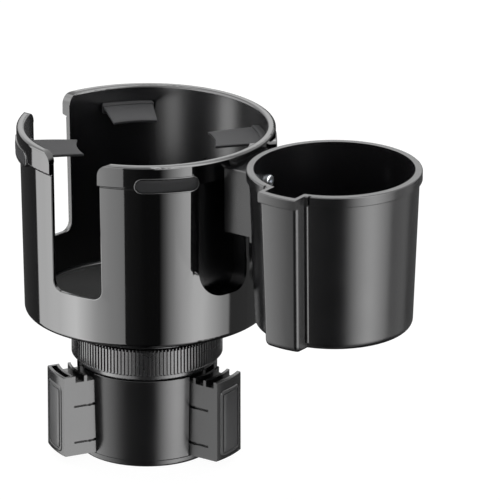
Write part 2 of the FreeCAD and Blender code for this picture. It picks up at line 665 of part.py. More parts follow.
def cup_shell():
    """The turned form of the large cup: foot, wall, collar and rim."""
    return turned([(0, CUP_UNDERSIDE, 0),
                   (CUP_FOOT_RADIUS, CUP_UNDERSIDE, CUP_FOOT_ROUND),
                   (CUP_WALL_TOP_RADIUS, COLLAR_BOTTOM - COLLAR_BLEND, COLLAR_BLEND_ROUND),
                   (COLLAR_RADIUS, COLLAR_BOTTOM, COLLAR_EDGE_ROUND),
                   (COLLAR_RADIUS, CUP_TOP, RIM_ROUND),
                   (cup_inner_radius(CUP_TOP), CUP_TOP, RIM_ROUND),
                   (cup_inner_radius(CUP_FLOOR_TOP), CUP_FLOOR_TOP, CUP_FLOOR_ROUND),
                   (0, CUP_FLOOR_TOP, 0)])


def collar_groove():
    """The thin shadow groove round the wall, just under the collar."""
    high = COLLAR_BOTTOM - COLLAR_BLEND
    return tube(CUP_WALL_TOP_RADIUS - COLLAR_GROOVE_DEPTH, FAR, high - COLLAR_GROOVE_HEIGHT, high)


def handle_slot(azimuth, half_width):
    """An open-topped slot for a mug's handle, with a flared mouth."""
    mouth = half_width + SLOT_MOUTH_ROUND
    above = CUP_TOP + CLEAR
    corners = [(-half_width, SLOT_BOTTOM, SLOT_CORNER), (half_width, SLOT_BOTTOM, SLOT_CORNER),
               (half_width, CUP_TOP, SLOT_MOUTH_ROUND), (mouth, CUP_TOP, 0), (mouth, above, 0),
               (-mouth, above, 0), (-mouth, CUP_TOP, 0), (-half_width, CUP_TOP, SLOT_MOUTH_ROUND)]
    return window(corners, azimuth)


def pill(half_width, half_height, azimuth):
    """A lying pill-shaped outline at the tabs' height, pushed outwards."""
    corners = window_box(half_width, TAB_HEIGHT - half_height, TAB_HEIGHT + half_height, half_height)
    return window(corners, azimuth)


def tab_bezel(azimuth):
    """The raised outline on the collar round a tab's head."""
    outer = pill(TAB_HEAD_HALF_WIDTH + TAB_BEZEL, TAB_HEAD_HALF_HEIGHT + TAB_BEZEL, azimuth)
    return outer.common(tube(DOCK_FLOOR_RADIUS - OVERLAP, COLLAR_RADIUS + TAB_BEZEL_PROUD))


def tab_recess(azimuth):
    """The seat of a tab's head in the collar, the hole for its neck and the room for its bar."""
    seat = pill(TAB_HEAD_HALF_WIDTH + SEAT_GAP, TAB_HEAD_HALF_HEIGHT + SEAT_GAP, azimuth)
    seat = seat.cut(disc(CUP_WALL_TOP_RADIUS, 0, FAR))
    half_height = TAB_NECK_HALF_HEIGHT + SEAT_GAP
    hole = bar(0, FAR, TAB_NECK_HALF_WIDTH + SEAT_GAP, TAB_HEIGHT - half_height, TAB_HEIGHT + half_height,
               azimuth)
    low, high = TAB_HEIGHT - TAB_BAR_BELOW - RUN_GAP, TAB_HEIGHT + TAB_BAR_ABOVE + RUN_GAP
    room = bar(0, FAR, TAB_BAR_HALF_WIDTH + RUN_GAP, low, high, azimuth)
    return fuse_all([seat, hole, room.common(disc(cup_inner_radius(low), 0, FAR))])


def dock_housing():
    """The hollow box inside the large cup that gives the dock its depth."""
    half_angle = POCKET_HALF_ANGLE + math.degrees(POCKET_WALL / POCKET_BACK_RADIUS)
    low, high = POCKET_BOTTOM - POCKET_WALL, POCKET_TOP + POCKET_ROOF
    box = sector(POCKET_BACK_RADIUS - POCKET_WALL, cup_inner_radius(high) + CUP_WALL / 4, low, high,
                 -half_angle, half_angle)
    return box.makeFillet(POCKET_OUTER_CORNER + POCKET_WALL, radial_edges(box, low))


def dock_pocket(side):
    """One of the two openings beside the dock's middle rib, with a large and a small corner."""
    start, end = POCKET_RIB_HALF_ANGLE, POCKET_HALF_ANGLE
    if side < 0:
        start, end = -end, -start
    block = sector(POCKET_BACK_RADIUS, FAR, POCKET_BOTTOM, POCKET_TOP, start, end)
    edges = radial_edges(block, POCKET_BOTTOM)
    outer = [edge for edge in edges if abs(azimuth_of(edge)) > POCKET_HALF_ANGLE / 2]
    inner = [edge for edge in edges if abs(azimuth_of(edge)) < POCKET_HALF_ANGLE / 2]
    return block.makeFillet(POCKET_OUTER_CORNER, outer).makeFillet(POCKET_INNER_CORNER, inner)


def dock_recess():
    """The shallow step round the dock, under the lip of the rim."""
    block = sector(DOCK_FLOOR_RADIUS, FAR, DOCK_BOTTOM, CUP_TOP - DOCK_LIP, -DOCK_HALF_ANGLE, DOCK_HALF_ANGLE)
    return block.makeFillet(DOCK_CORNER, radial_edges(block, DOCK_BOTTOM))


def hook_wall_radius():
    """The inner radius of the wall that the hook hangs on."""
    return cup_inner_radius(HOOK_HIGH)


def hook_slot():
    """The slot under the rim for the bracket's hook, and the groove behind the wall for its lip."""
    half = HOOK_HALF_WIDTH + HOOK_SIDE_GAP
    inner = hook_wall_radius() - RUN_GAP - HOOK_LIP - RUN_GAP
    through = bar(inner, FAR, half, HOOK_LOW - RUN_GAP, HOOK_HIGH + RUN_GAP)
    low = HOOK_HIGH - HOOK_DROP - RUN_GAP
    behind = bar(0, FAR, half, low, HOOK_HIGH).common(tube(inner, hook_wall_radius()))
    return through.fuse(behind)


def floor_screw_hole():
    """A countersunk hole through the large cup's floor, about the Z axis."""
    cone_low = CUP_FLOOR_TOP - FLOOR_SCREW_CONE
    cone = Part.makeCone(SCREW_RADIUS + SCREW_GAP, SCREW_HEAD_RADIUS + SCREW_GAP, FLOOR_SCREW_CONE,
                         Vector(0, 0, cone_low))
    return cone.fuse(disc(SCREW_RADIUS + SCREW_GAP, 0, CUP_FLOOR_TOP - FLOOR_SCREW_CONE / 2))


def main_cup():
    """The large cup with its slots, dock, collar and tab seats."""
    shape = cup_shell().cut(dock_recess()).cut(collar_groove())
    shape = fuse_all([shape, dock_housing()] + [tab_bezel(azimuth) for azimuth in TAB_AZIMUTHS.values()])
    cuts = [handle_slot(azimuth, half_width) for azimuth, half_width in HANDLE_SLOTS]
    cuts += [tab_recess(azimuth) for azimuth in TAB_AZIMUTHS.values()]
    cuts += [dock_pocket(1), dock_pocket(-1), hook_slot()]
    cuts += [moved(floor_screw_hole(), x, y) for x, y in floor_screw_places()]
    for cutter in cuts:
        shape = shape.cut(cutter)
    return shape.removeSplitter()


def main_mat():
    """The soft mat on the large cup's floor. Its edge slopes to clear the round foot."""
    low, high = CUP_FLOOR_TOP, CUP_FLOOR_TOP + MAT_THICKNESS
    radius = CUP_FOOT_RADIUS - CUP_WALL - MAT_MARGIN
    return turned([(0, low, 0), (radius - MAT_CHAMFER, low, 0), (radius, high - MAT_EDGE, 0),
                   (radius - MAT_EDGE, high, 0), (0, high, 0)])


def grip_tab(azimuth):
    """One rubber tab: a head outside the collar, a neck through the wall, a bar and a long flap."""
    head = pill(TAB_HEAD_HALF_WIDTH, TAB_HEAD_HALF_HEIGHT, 0)
    head = head.common(tube(CUP_WALL_TOP_RADIUS + SEAT_GAP, COLLAR_RADIUS + TAB_HEAD_PROUD))
    inside = cup_inner_radius(TAB_HEIGHT - TAB_BAR_BELOW) - RUN_GAP
    neck = bar(inside - OVERLAP, CUP_WALL_TOP_RADIUS + OVERLAP, TAB_NECK_HALF_WIDTH,
               TAB_HEIGHT - TAB_NECK_HALF_HEIGHT, TAB_HEIGHT + TAB_NECK_HALF_HEIGHT)
    root = bar(0, FAR, TAB_BAR_HALF_WIDTH, TAB_HEIGHT - TAB_BAR_BELOW, TAB_HEIGHT + TAB_BAR_ABOVE)
    root = root.common(tube(inside - TAB_BAR_THICKNESS, inside))
    high = TAB_HEIGHT + TAB_FLAP_ABOVE
    tip, back = inside - TAB_FLAP_LENGTH, inside - OVERLAP
    plan = [Vector(0, -TAB_FLAP_TIP_HALF_WIDTH, 0), Vector(tip, -TAB_FLAP_TIP_HALF_WIDTH, 0),
            Vector(back, -TAB_FLAP_ROOT_HALF_WIDTH, 0), Vector(back, TAB_FLAP_ROOT_HALF_WIDTH, 0),
            Vector(tip, TAB_FLAP_TIP_HALF_WIDTH, 0), Vector(0, TAB_FLAP_TIP_HALF_WIDTH, 0)]
    flap = Part.Face(Part.makePolygon(plan + plan[:1])).extrude(UP * TAB_FLAP_THICKNESS)
    flap = moved(flap, z=high - TAB_FLAP_THICKNESS).cut(disc(tip, 0, FAR))
    return about_z(fuse_all([head, neck, root, flap]), azimuth)


# Second cup

def second_outer(grow, with_rim=False):
    """The outer form of the second cup about its own axis, grown by a distance."""
    foot, top = SECOND_FOOT_RADIUS + grow, SECOND_WALL_TOP_RADIUS + grow
    rim_low = SECOND_TOP - SECOND_RIM_HEIGHT
    corners = [(0, SECOND_UNDERSIDE, 0), (foot, SECOND_UNDERSIDE, SECOND_FOOT_ROUND), (top, rim_low, 0)]
    if with_rim:
        rim = SECOND_RIM_RADIUS + grow
        corners += [(rim, rim_low, SECOND_RIM_FOOT_ROUND), (rim, SECOND_TOP, SECOND_RIM_ROUND)]
    else:
        corners.append((top, SECOND_TOP, 0))
    return turned(corners + [(0, SECOND_TOP, 0)])


def second_inner(grow):
    """The hollow of the second cup about its own axis, grown by a distance."""
    foot, top = SECOND_FOOT_RADIUS - SECOND_WALL + grow, SECOND_WALL_TOP_RADIUS - SECOND_WALL + grow
    above = SECOND_TOP + CLEAR
    return turned([(0, SECOND_FLOOR_TOP, 0), (foot, SECOND_FLOOR_TOP, SECOND_FOOT_ROUND - SECOND_WALL),
                   (top, SECOND_TOP, 0), (top, above, 0), (0, above, 0)])


def second_wall(z):
    """The outer wall radius of the second cup at a height."""
    rim_low = SECOND_TOP - SECOND_RIM_HEIGHT
    return wall_radius(z, SECOND_FOOT_RADIUS, SECOND_UNDERSIDE, SECOND_WALL_TOP_RADIUS, rim_low)


def bulge(shrink):
    """An upright slab towards -Y that gives the bulge its width, wider at the top."""
    foot, top = BULGE_FOOT_HALF_WIDTH - shrink, BULGE_HALF_WIDTH - shrink
    near, high = -SECOND_FOOT_RADIUS / 2, SECOND_TOP + CLEAR
    corners = [Vector(-foot, near, SECOND_UNDERSIDE), Vector(foot, near, SECOND_UNDERSIDE),
               Vector(top, near, high), Vector(-top, near, high)]
    return Part.Face(Part.makePolygon(corners + corners[:1])).extrude(Vector(0, -SECOND_RIM_RADIUS, 0))


def bead(side):
    """A thin upright bead in the corner between the bulge and the wall."""
    ends = []
    for z in (SECOND_UNDERSIDE + SECOND_FOOT_ROUND, SECOND_TOP - BEAD_BELOW_RIM):
        side_wall = wall_radius(z, BULGE_FOOT_HALF_WIDTH, SECOND_UNDERSIDE, BULGE_HALF_WIDTH, SECOND_TOP)
        offset = side_wall + BEAD_GAP
        depth = math.sqrt(second_wall(z) ** 2 - offset ** 2)
        ends.append(Vector(side * offset, -depth, z))
    low, high = ends
    return Part.makeCylinder(BEAD_RADIUS, (high - low).Length, low, high - low)


def rim_notch(side):
    """The small slot in the rim band beside the bead."""
    middle = side * (BULGE_HALF_WIDTH + BEAD_GAP + BEAD_RADIUS + SEAT_GAP + NOTCH_HALF_WIDTH)
    depth = SECOND_RIM_RADIUS + CLEAR
    place = Vector(middle - NOTCH_HALF_WIDTH, -depth, SECOND_TOP - SECOND_RIM_HEIGHT - CLEAR)
    notch = Part.makeBox(2 * NOTCH_HALF_WIDTH, depth, SECOND_RIM_HEIGHT + 2 * CLEAR, place)
    return notch.cut(disc(SECOND_WALL_TOP_RADIUS, 0, FAR))


def second_cup():
    """The second cup: a tapered wall with a rim band and an outward bulge for a mug's handle."""
    outside = second_outer(BULGE_PROUD, True).common(bulge(0))
    upright = [edge for edge in outside.Edges if edge.BoundBox.ZLength > SECOND_HEIGHT / 2]
    outward = [edge for edge in upright if edge.BoundBox.YMax < -SECOND_FOOT_RADIUS]
    outside = outside.makeFillet(BULGE_CORNER, outward)
    shape = fuse_all([second_outer(0, True), outside])
    shape = shape.fuse([bead(1), bead(-1)])
    hollow = second_inner(BULGE_PROUD).common(bulge(SECOND_WALL))
    shape = shape.cut(fuse_all([second_inner(0), hollow]))
    for side in (1, -1):
        shape = shape.cut(rim_notch(side))
    shape = moved(shape, x=SECOND_X)
    for height in bracket_screw_heights():
        seat = bracket_screw_seat(height)
        shape = shape.cut(level_rod(SCREW_RADIUS + SCREW_GAP, seat - CLEAR - SECOND_WALL, SECOND_X, height))
        shape = shape.cut(level_rod(SCREW_HEAD_RADIUS + SCREW_GAP, seat, SECOND_X, height))
    return shape.removeSplitter()


def second_mat():
    """The soft mat on the second cup's floor."""
    low, high = SECOND_FLOOR_TOP, SECOND_FLOOR_TOP + MAT_THICKNESS
    radius = SECOND_FOOT_RADIUS - SECOND_FOOT_ROUND
    mat = turned([(0, low, 0), (radius, low, 0), (radius, high, MAT_ROUND), (0, high, 0)])
    return moved(mat, x=SECOND_X)


# Bracket

def bracket_screw_heights():
    """The heights of the two bracket screws."""
    return [BRACKET_HIGH - below for below in BRACKET_SCREWS_BELOW_TOP]


def bracket_screw_seat(height):
    """Where a bracket screw's head sits, on a flat spot sunk into the second cup's inner wall."""
    return SECOND_X - second_wall(height) + SECOND_WALL - SPOT_FACE_DEPTH


def bracket():
    """The block between the cups, with a flange on the second cup and a hook into the dock."""
    block = bar(0, SECOND_X, BRACKET_HALF_WIDTH, BRACKET_LOW, BRACKET_HIGH)
    long_edges = [edge for edge in block.Edges if edge.BoundBox.XLength > SECOND_X / 2]
    block = block.makeFillet(BRACKET_EDGE_ROUND, long_edges)
    flange = bar(DOCK_FLOOR_RADIUS + HOOK_ROOT, SECOND_X, BRACKET_HALF_WIDTH + FLANGE_MARGIN,
                 BRACKET_LOW - FLANGE_MARGIN, BRACKET_HIGH)
    flange = flange.common(moved(second_outer(FLANGE_THICKNESS), x=SECOND_X))
    block = block.fuse(flange).cut(disc(DOCK_FLOOR_RADIUS + SEAT_GAP, 0, FAR))
    wall = hook_wall_radius() - RUN_GAP
    tongue = bar(0, DOCK_FLOOR_RADIUS + HOOK_ROOT, HOOK_HALF_WIDTH, HOOK_LOW, HOOK_HIGH)
    tongue = tongue.cut(disc(wall - HOOK_LIP, 0, FAR))
    lip = bar(0, FAR, HOOK_HALF_WIDTH, HOOK_HIGH - HOOK_DROP, HOOK_HIGH).common(tube(wall - HOOK_LIP, wall))
    shape = fuse_all([block, tongue, lip])
    shape = shape.cut(moved(second_outer(SEAT_GAP), x=SECOND_X))
    for height in bracket_screw_heights():
        end = bracket_screw_seat(height) - BRACKET_SCREW_LENGTH - CLEAR
        shape = shape.cut(level_rod(SCREW_RADIUS + SCREW_GAP, end, SECOND_X, height))
    return shape.removeSplitter()


# Fasteners

def round_head_screw(length):
    """A small screw along -Z, its head's seat at the origin and a round drive recess in the head."""
    head = turned([(0, 0, 0), (SCREW_HEAD_RADIUS, 0, 0),
                   (SCREW_HEAD_RADIUS, SCREW_HEAD_HEIGHT, SCREW_HEAD_ROUND), (0, SCREW_HEAD_HEIGHT, 0)])
    return drive_recess(head.fuse(screw_shank(length, OVERLAP / 4)), SCREW_HEAD_HEIGHT)


def flat_head_screw(length):
    """A countersunk screw along -Z with its flat head's top at the origin."""
    cone = Part.makeCone(SCREW_RADIUS, SCREW_HEAD_RADIUS, FLOOR_SCREW_CONE, Vector(0, 0, -FLOOR_SCREW_CONE))
    return drive_recess(cone.fuse(screw_shank(length, -FLOOR_SCREW_CONE / 2)), 0)


def screw_shank(length, top):
    """A screw's plain shank with a rounded tip, from its length below the origin up to a height."""
    return turned([(0, -length, 0), (SCREW_RADIUS, -length, SCREW_TIP_ROUND), (SCREW_RADIUS, top, 0),
                   (0, top, 0)])


def drive_recess(screw, top):
    """A screw with the round recess for its driver cut into its top."""
    return screw.cut(disc(SCREW_RECESS_RADIUS, top - SCREW_RECESS_DEPTH, FAR)).removeSplitter()


def plate_screws():
    """The three screws that hold the base plate, heads down."""
    screw = round_head_screw(PLATE_SCREW_LENGTH)
    screw.rotate(ORIGIN, OUTWARD, 180)
    seat = SCREW_HEAD_HEIGHT + SCREW_GAP
    return Part.makeCompound([moved(screw, x, y, seat) for x, y in plate_screw_places()])


def floor_screws():
    """The three flush screws under the mat that hold the large cup on its socket."""
    screw = flat_head_screw(FLOOR_SCREW_LENGTH)
    return Part.makeCompound([moved(screw, x, y, CUP_FLOOR_TOP) for x, y in floor_screw_places()])


def bracket_screws():
    """The two screws from inside the second cup into the bracket."""
    screw = round_head_screw(BRACKET_SCREW_LENGTH)
    screw.rotate(ORIGIN, Vector(0, 1, 0), 90)
    return Part.makeCompound([moved(screw, bracket_screw_seat(z), 0, z) for z in bracket_screw_heights()])


def centre_bolt():
    """The bolt that clamps the socket on the post, with a hexagonal drive recess."""
    seat = BOLT_SEAT + WASHER_THICKNESS
    top = seat + BOLT_HEAD_HEIGHT
    head = turned([(0, seat, 0), (BOLT_HEAD_RADIUS, seat, 0), (BOLT_HEAD_RADIUS, top, BOLT_HEAD_ROUND),
                   (0, top, 0)])
    shank = disc(BOLT_RADIUS, seat - BOLT_LENGTH, seat + OVERLAP / 4)
    return fuse_all([head, shank]).cut(hexagon(BOLT_KEY_FLATS, top - BOLT_KEY_DEPTH, top + CLEAR))


def bolt_washer():
    """The flat washer under the centre bolt's head."""
    return tube(BOLT_RADIUS + SCREW_GAP, WASHER_RADIUS, BOLT_SEAT, BOLT_SEAT + WASHER_THICKNESS)


def build():
    """All pieces by name."""
    pieces = {
        "base_plate": base_plate(),
        "base_body": base_body(),
        "plate_screws": plate_screws(),
        "scroll_ring": scroll_ring(),
        "cup_socket": cup_socket(),
        "centre_bolt": centre_bolt(),
        "bolt_washer": bolt_washer(),
        "main_cup": main_cup(),
        "floor_screws": floor_screws(),
        "main_mat": main_mat(),
        "second_cup": second_cup(),
        "second_mat": second_mat(),
        "bracket": bracket(),
        "bracket_screws": bracket_screws(),
    }
    for name, azimuth in JAW_AZIMUTHS.items():
        pieces["jaw_" + name] = jaw(azimuth)
        pieces["jaw_pad_" + name] = jaw_pad(azimuth)
    for name, azimuth in TAB_AZIMUTHS.items():
        pieces["grip_tab_" + name] = grip_tab(azimuth)
    return pieces


os.makedirs("parts", exist_ok=True)
for node, shape in build().items():
    shape.exportStep("parts/" + node + ".step")
    box = shape.BoundBox
    print(node, "solids", len(shape.Solids), "valid", shape.isValid(), "volume", round(shape.Volume, 1),
          "box", [round(v, 2) for v in (box.XMin, box.YMin, box.ZMin, box.XMax, box.YMax, box.ZMax)])
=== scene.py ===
# %% [markdown]
# # Car cup holder
# A car cup holder in black plastic and rubber. An expanding base grips the well of the console, a
# glossy large cup stands on it, and a satin second cup hangs beside it.
# The solid model comes from CAD and is loaded as a fixed frame. This lesson gives it its looks.

# %% Load the frame
import json
import math

import bmesh
import bpy
from mathutils import Matrix, Vector


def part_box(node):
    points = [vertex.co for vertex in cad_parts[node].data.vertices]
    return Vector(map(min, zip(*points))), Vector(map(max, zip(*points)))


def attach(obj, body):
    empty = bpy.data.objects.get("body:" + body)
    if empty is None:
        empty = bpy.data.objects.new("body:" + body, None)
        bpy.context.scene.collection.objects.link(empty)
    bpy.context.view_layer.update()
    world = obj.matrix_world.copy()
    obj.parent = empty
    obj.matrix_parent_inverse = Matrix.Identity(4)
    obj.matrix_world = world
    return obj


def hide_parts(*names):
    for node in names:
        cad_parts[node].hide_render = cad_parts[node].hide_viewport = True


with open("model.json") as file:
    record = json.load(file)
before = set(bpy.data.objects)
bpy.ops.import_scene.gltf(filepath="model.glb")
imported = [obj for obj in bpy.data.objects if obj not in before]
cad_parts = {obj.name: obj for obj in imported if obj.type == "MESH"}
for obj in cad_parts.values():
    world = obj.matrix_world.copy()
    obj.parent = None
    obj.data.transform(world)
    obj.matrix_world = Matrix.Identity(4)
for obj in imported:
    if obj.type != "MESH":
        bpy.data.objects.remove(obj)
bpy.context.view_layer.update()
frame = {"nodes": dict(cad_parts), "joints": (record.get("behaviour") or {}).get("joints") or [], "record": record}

MM = 0.001

# %% [markdown]
# ## Camera
# A product picture is taken from far away with a long lens, so upright edges stay parallel. An
# orthographic camera would do that too, but this one keeps the slight narrowing of a real lens. It
# looks down by 20 degrees, and the second cup stands to the right and a little nearer.

# %% Camera
CAMERA_TARGET = Vector((38.99, 27.3, 95.2)) * MM
CAMERA_DISTANCE = 3.685
CAMERA_YAW = math.radians(35)
CAMERA_PITCH = math.radians(20.05)
FRAME_PIXELS = 500
FOCAL_PIXELS = 8000
SENSOR = 36.0


def toward(yaw_from_camera, pitch=0.0):
    """A unit vector in the world, given by its turn from the camera's side and its rise."""
    yaw = CAMERA_YAW + yaw_from_camera
    level = math.cos(pitch)
    return Vector((math.sin(yaw) * level, -math.cos(yaw) * level, math.sin(pitch)))


camera_data = bpy.data.cameras.new("camera")
camera_data.sensor_width = SENSOR
camera_data.lens = FOCAL_PIXELS / FRAME_PIXELS * SENSOR
camera = bpy.data.objects.new("camera", camera_data)
camera.location = CAMERA_TARGET + toward(0, CAMERA_PITCH) * CAMERA_DISTANCE
camera.rotation_euler = (math.pi / 2 - CAMERA_PITCH, 0, CAMERA_YAW)
bpy.context.scene.collection.objects.link(camera)
bpy.context.scene.camera = camera
bpy.context.scene.view_settings.view_transform = "Standard"
print("lens", camera_data.lens, "camera at", [round(v, 3) for v in camera.location])

# %% [markdown]
# ## Colours and nodes
# Three helpers serve the world and every material. One turns a colour as a screen shows it into the
# linear numbers that light is worked out in. One adds a node with its settings and its links, so that
# a material reads as a list of its nodes. The last one fills a colour ramp.

# %% Helpers for materials


def linear(hex_colour):
    """A screen colour such as '#808080' as a linear RGBA colour."""
    channels = [int(hex_colour[i:i + 2], 16) / 255 for i in (1, 3, 5)]
    return [c / 12.92 if c <= 0.04045 else ((c + 0.055) / 1.055) ** 2.4 for c in channels] + [1.0]


def add_node(tree, kind, settings=None, **inputs):
    """A new node. A link is given as (node, output name), anything else is a socket's value."""
    node = tree.nodes.new(kind)
    for name, value in (settings or {}).items():
        setattr(node, name, value)
    for name, value in inputs.items():
        socket = node.inputs[int(name[1:])] if name[0] == "_" else node.inputs[name.replace("_", " ")]
        if isinstance(value, tuple) and isinstance(value[0], bpy.types.Node):
            tree.links.new(value[0].outputs[value[1]], socket)
        else:
            socket.default_value = value
    return node


def set_ramp(node, stops):
    """Fills a colour ramp with grey stops of (place, level)."""
    elements = node.color_ramp.elements
    while len(elements) < len(stops):
        elements.new(0.5)
    for element, (place, level) in zip(elements, stops):
        element.position = place
        element.color = (level, level, level, 1)


# %% [markdown]
# ## Light
# Polished black plastic has next to no colour of its own. What it shows is the room, so the light
# is planned as a photographer would: dark behind the camera, a bright soft box to the right, a dimmer
# one to the left, and a card close by. Lamps could stand for the boxes, but lamps also light what
# they don't mirror in, and each would need trying out. The world draws the boxes for glossy rays
# alone, by their azimuth, and that gives upright bands on upright walls, each where it is wanted.
# Rays that rise meet a soft light as well: seen from 20 degrees above, flat rims and rounded top
# edges mirror that part and shine. Rays that go steeply down would meet the dim floor, so the boxes
# fade out there. Diffuse rays get a plain even light, and the camera sees white.

# %% World
# Each stop is an azimuth, in degrees to the right of the camera's side, and a level of light.
STUDIO = ((-180, 0.006), (-122, 0.012), (-121, 0.30), (-107, 0.40), (-93, 0.43), (-76, 0.38),
          (-62, 0.28), (-54, 0.20), (-46, 0.10), (-34, 0.03), (-18, 0.018), (0, 0.007),
          (13, 0.007), (18, 0.13), (23, 0.31), (34, 0.64), (46, 0.88), (54, 0.90),
          (64, 0.68), (78, 0.38), (84, 0.30), (86, 0.04), (180, 0.006))
STUDIO_STRENGTH = 10.0
# The next values are heights of a ray's unit direction, where 1 is straight up.
SKY_FROM = 0.08
SKY_FULL = 0.32
BOXES_FULL = -0.5
BOXES_END = -0.85
SKY_LIGHT = 2.2
BOXES_LEFT_BELOW = 0.12
EVEN_LIGHT = 0.35
WHITE = (1, 1, 1, 1)

world = bpy.data.worlds.new("studio")
bpy.context.scene.world = world
world.use_nodes = True
world.cycles.sampling_method = "NONE"
tree = world.node_tree
tree.nodes.clear()
place = add_node(tree, "ShaderNodeTexCoord")
turn = add_node(tree, "ShaderNodeVectorRotate", {"rotation_type": "Z_AXIS"},
                Vector=(place, "Generated"), Angle=-CAMERA_YAW)
axes = add_node(tree, "ShaderNodeSeparateXYZ", None, Vector=(turn, "Vector"))
behind = add_node(tree, "ShaderNodeMath", {"operation": "MULTIPLY"}, _0=(axes, "Y"), _1=-1.0)
azimuth = add_node(tree, "ShaderNodeMath", {"operation": "ARCTAN2"}, _0=(axes, "X"), _1=(behind, 0))
share = add_node(tree, "ShaderNodeMapRange", None, Value=(azimuth, 0), From_Min=-math.pi, From_Max=math.pi)
ramp = add_node(tree, "ShaderNodeValToRGB", None, Fac=(share, 0))
set_ramp(ramp, [((angle + 180) / 360, level) for angle, level in STUDIO])
height = add_node(tree, "ShaderNodeMapRange", None, Value=(axes, "Z"), From_Min=BOXES_END,
                  From_Max=BOXES_FULL, To_Min=BOXES_LEFT_BELOW * STUDIO_STRENGTH, To_Max=STUDIO_STRENGTH)
boxes = add_node(tree, "ShaderNodeBackground", None, Color=(ramp, "Color"), Strength=(height, 0))
rise = add_node(tree, "ShaderNodeMapRange", None, Value=(axes, "Z"), From_Min=SKY_FROM, From_Max=SKY_FULL,
                To_Max=SKY_LIGHT)
sky = add_node(tree, "ShaderNodeBackground", None, Color=WHITE, Strength=(rise, 0))
glossy = add_node(tree, "ShaderNodeAddShader", None, _0=(boxes, 0), _1=(sky, 0))
print("nodes for glossy rays", len(tree.nodes))

# %% What each kind of ray sees
lights = add_node(tree, "ShaderNodeLightPath")
plain = add_node(tree, "ShaderNodeBackground", None, Color=WHITE, Strength=EVEN_LIGHT)
white = add_node(tree, "ShaderNodeBackground", None, Color=WHITE, Strength=1.0)
first = add_node(tree, "ShaderNodeMixShader", None, _0=(lights, "Is Glossy Ray"), _1=(plain, 0),
                 _2=(glossy, 0))
seen = add_node(tree, "ShaderNodeMath", {"operation": "MAXIMUM"}, _0=(lights, "Is Camera Ray"),
                _1=(lights, "Is Transmission Ray"))
second = add_node(tree, "ShaderNodeMixShader", None, _0=(seen, 0), _1=(first, 0), _2=(white, 0))
add_node(tree, "ShaderNodeOutputWorld", None, Surface=(second, 0))
print("world nodes", len(tree.nodes))

# %% [markdown]
# ### Overhead box
# One soft box hangs overhead, a little behind the object, for the flaps and the mats. A stronger
# even light would lift them too, but without any shading, so this one is a real area lamp. It is
# large and far, so its light is soft and leaves only a faint shade on the floor.

# %% Overhead box
TOP_POWER = 11.0
TOP_SIZE = 1.2
TOP_OFFSET = Vector((0, 0.2, 1.3))
OBJECT_MIDDLE = Vector((0.03, 0, 0.09))

top_data = bpy.data.lights.new("top_box", "AREA")
top_data.size = TOP_SIZE
top_data.energy = TOP_POWER
top_box = bpy.data.objects.new("top_box", top_data)
top_box.location = OBJECT_MIDDLE + TOP_OFFSET
top_box.rotation_euler = (-TOP_OFFSET).to_track_quat("-Z", "Y").to_euler()
top_box.visible_camera = False
bpy.context.scene.collection.objects.link(top_box)
print("overhead box at", [round(v, 2) for v in top_box.location], "power in W", TOP_POWER)

# %% [markdown]
# ### Cards
# The left card stands close to the large cup, so its edge shows there as a sharp upright line. The
# world can't give that, because it is endlessly far. A real card with a spot on it is brightest in
# its middle, which a ramp along its length gives. A second card behind the right side gives the
# second cup its far edge. In a studio, flags would keep each card's light off the other pieces. Here
# light linking does: a card reaches only the pieces named for it, and it is clear to the rest.

# %% A place in plan


def plan_point(right, near, height):
    """A point in metres, from millimetres right of the large cup's axis and toward the camera."""
    return (toward(math.pi / 2) * right + toward(0) * near + Vector((0, 0, height))) * MM


# %% The glow of a card


def card_board(name, length, stops, strength):
    """A clear board that glows. The glow along its length, in metres, follows the stops."""
    board = bpy.data.materials.new(name + "_board")
    board.use_nodes = True
    board.cycles.emission_sampling = "NONE"
    tree = board.node_tree
    tree.nodes.clear()
    place = add_node(tree, "ShaderNodeTexCoord")
    axes = add_node(tree, "ShaderNodeSeparateXYZ", None, Vector=(place, "Object"))
    share = add_node(tree, "ShaderNodeMath", {"operation": "DIVIDE"}, _0=(axes, "X"), _1=length)
    ramp = add_node(tree, "ShaderNodeValToRGB", None, Fac=(share, 0))
    set_ramp(ramp, stops)
    glow = add_node(tree, "ShaderNodeEmission", None, Color=(ramp, "Color"), Strength=strength)
    clear = add_node(tree, "ShaderNodeBsdfTransparent")
    both = add_node(tree, "ShaderNodeAddShader", None, _0=(glow, 0), _1=(clear, 0))
    add_node(tree, "ShaderNodeOutputMaterial", None, Surface=(both, 0))
    return board


# %% A lit card


def lit_card(name, start, end, low, high, stops, strength):
    """An upright card of light between two plan places, and the collection of what it reaches."""
    foot = plan_point(*start, low)
    far_foot = plan_point(*end, low)
    length = (far_foot - foot).length
    along = (far_foot - foot).normalized()
    up = Vector((0, 0, 1))
    shape = bmesh.new()
    bmesh.ops.create_grid(shape, x_segments=1, y_segments=1, size=0.5)
    bmesh.ops.translate(shape, vec=(0.5, 0.5, 0), verts=shape.verts)
    bmesh.ops.scale(shape, vec=(length, (high - low) * MM, 1), verts=shape.verts)
    mesh = bpy.data.meshes.new(name)
    shape.to_mesh(mesh)
    shape.free()
    card = bpy.data.objects.new(name, mesh)
    turned = Matrix((along, up, along.cross(up))).transposed()
    card.matrix_world = Matrix.Translation(foot) @ turned.to_4x4()
    bpy.context.scene.collection.objects.link(card)
    card.visible_camera = False
    card.visible_diffuse = False
    card.visible_shadow = False
    card.visible_transmission = False
    mesh.materials.append(card_board(name, length, stops, strength))
    reaches = bpy.data.collections.new(name + "_reaches")
    card.light_linking.receiver_collection = reaches
    print(name, "length in mm", round(length / MM))
    return reaches


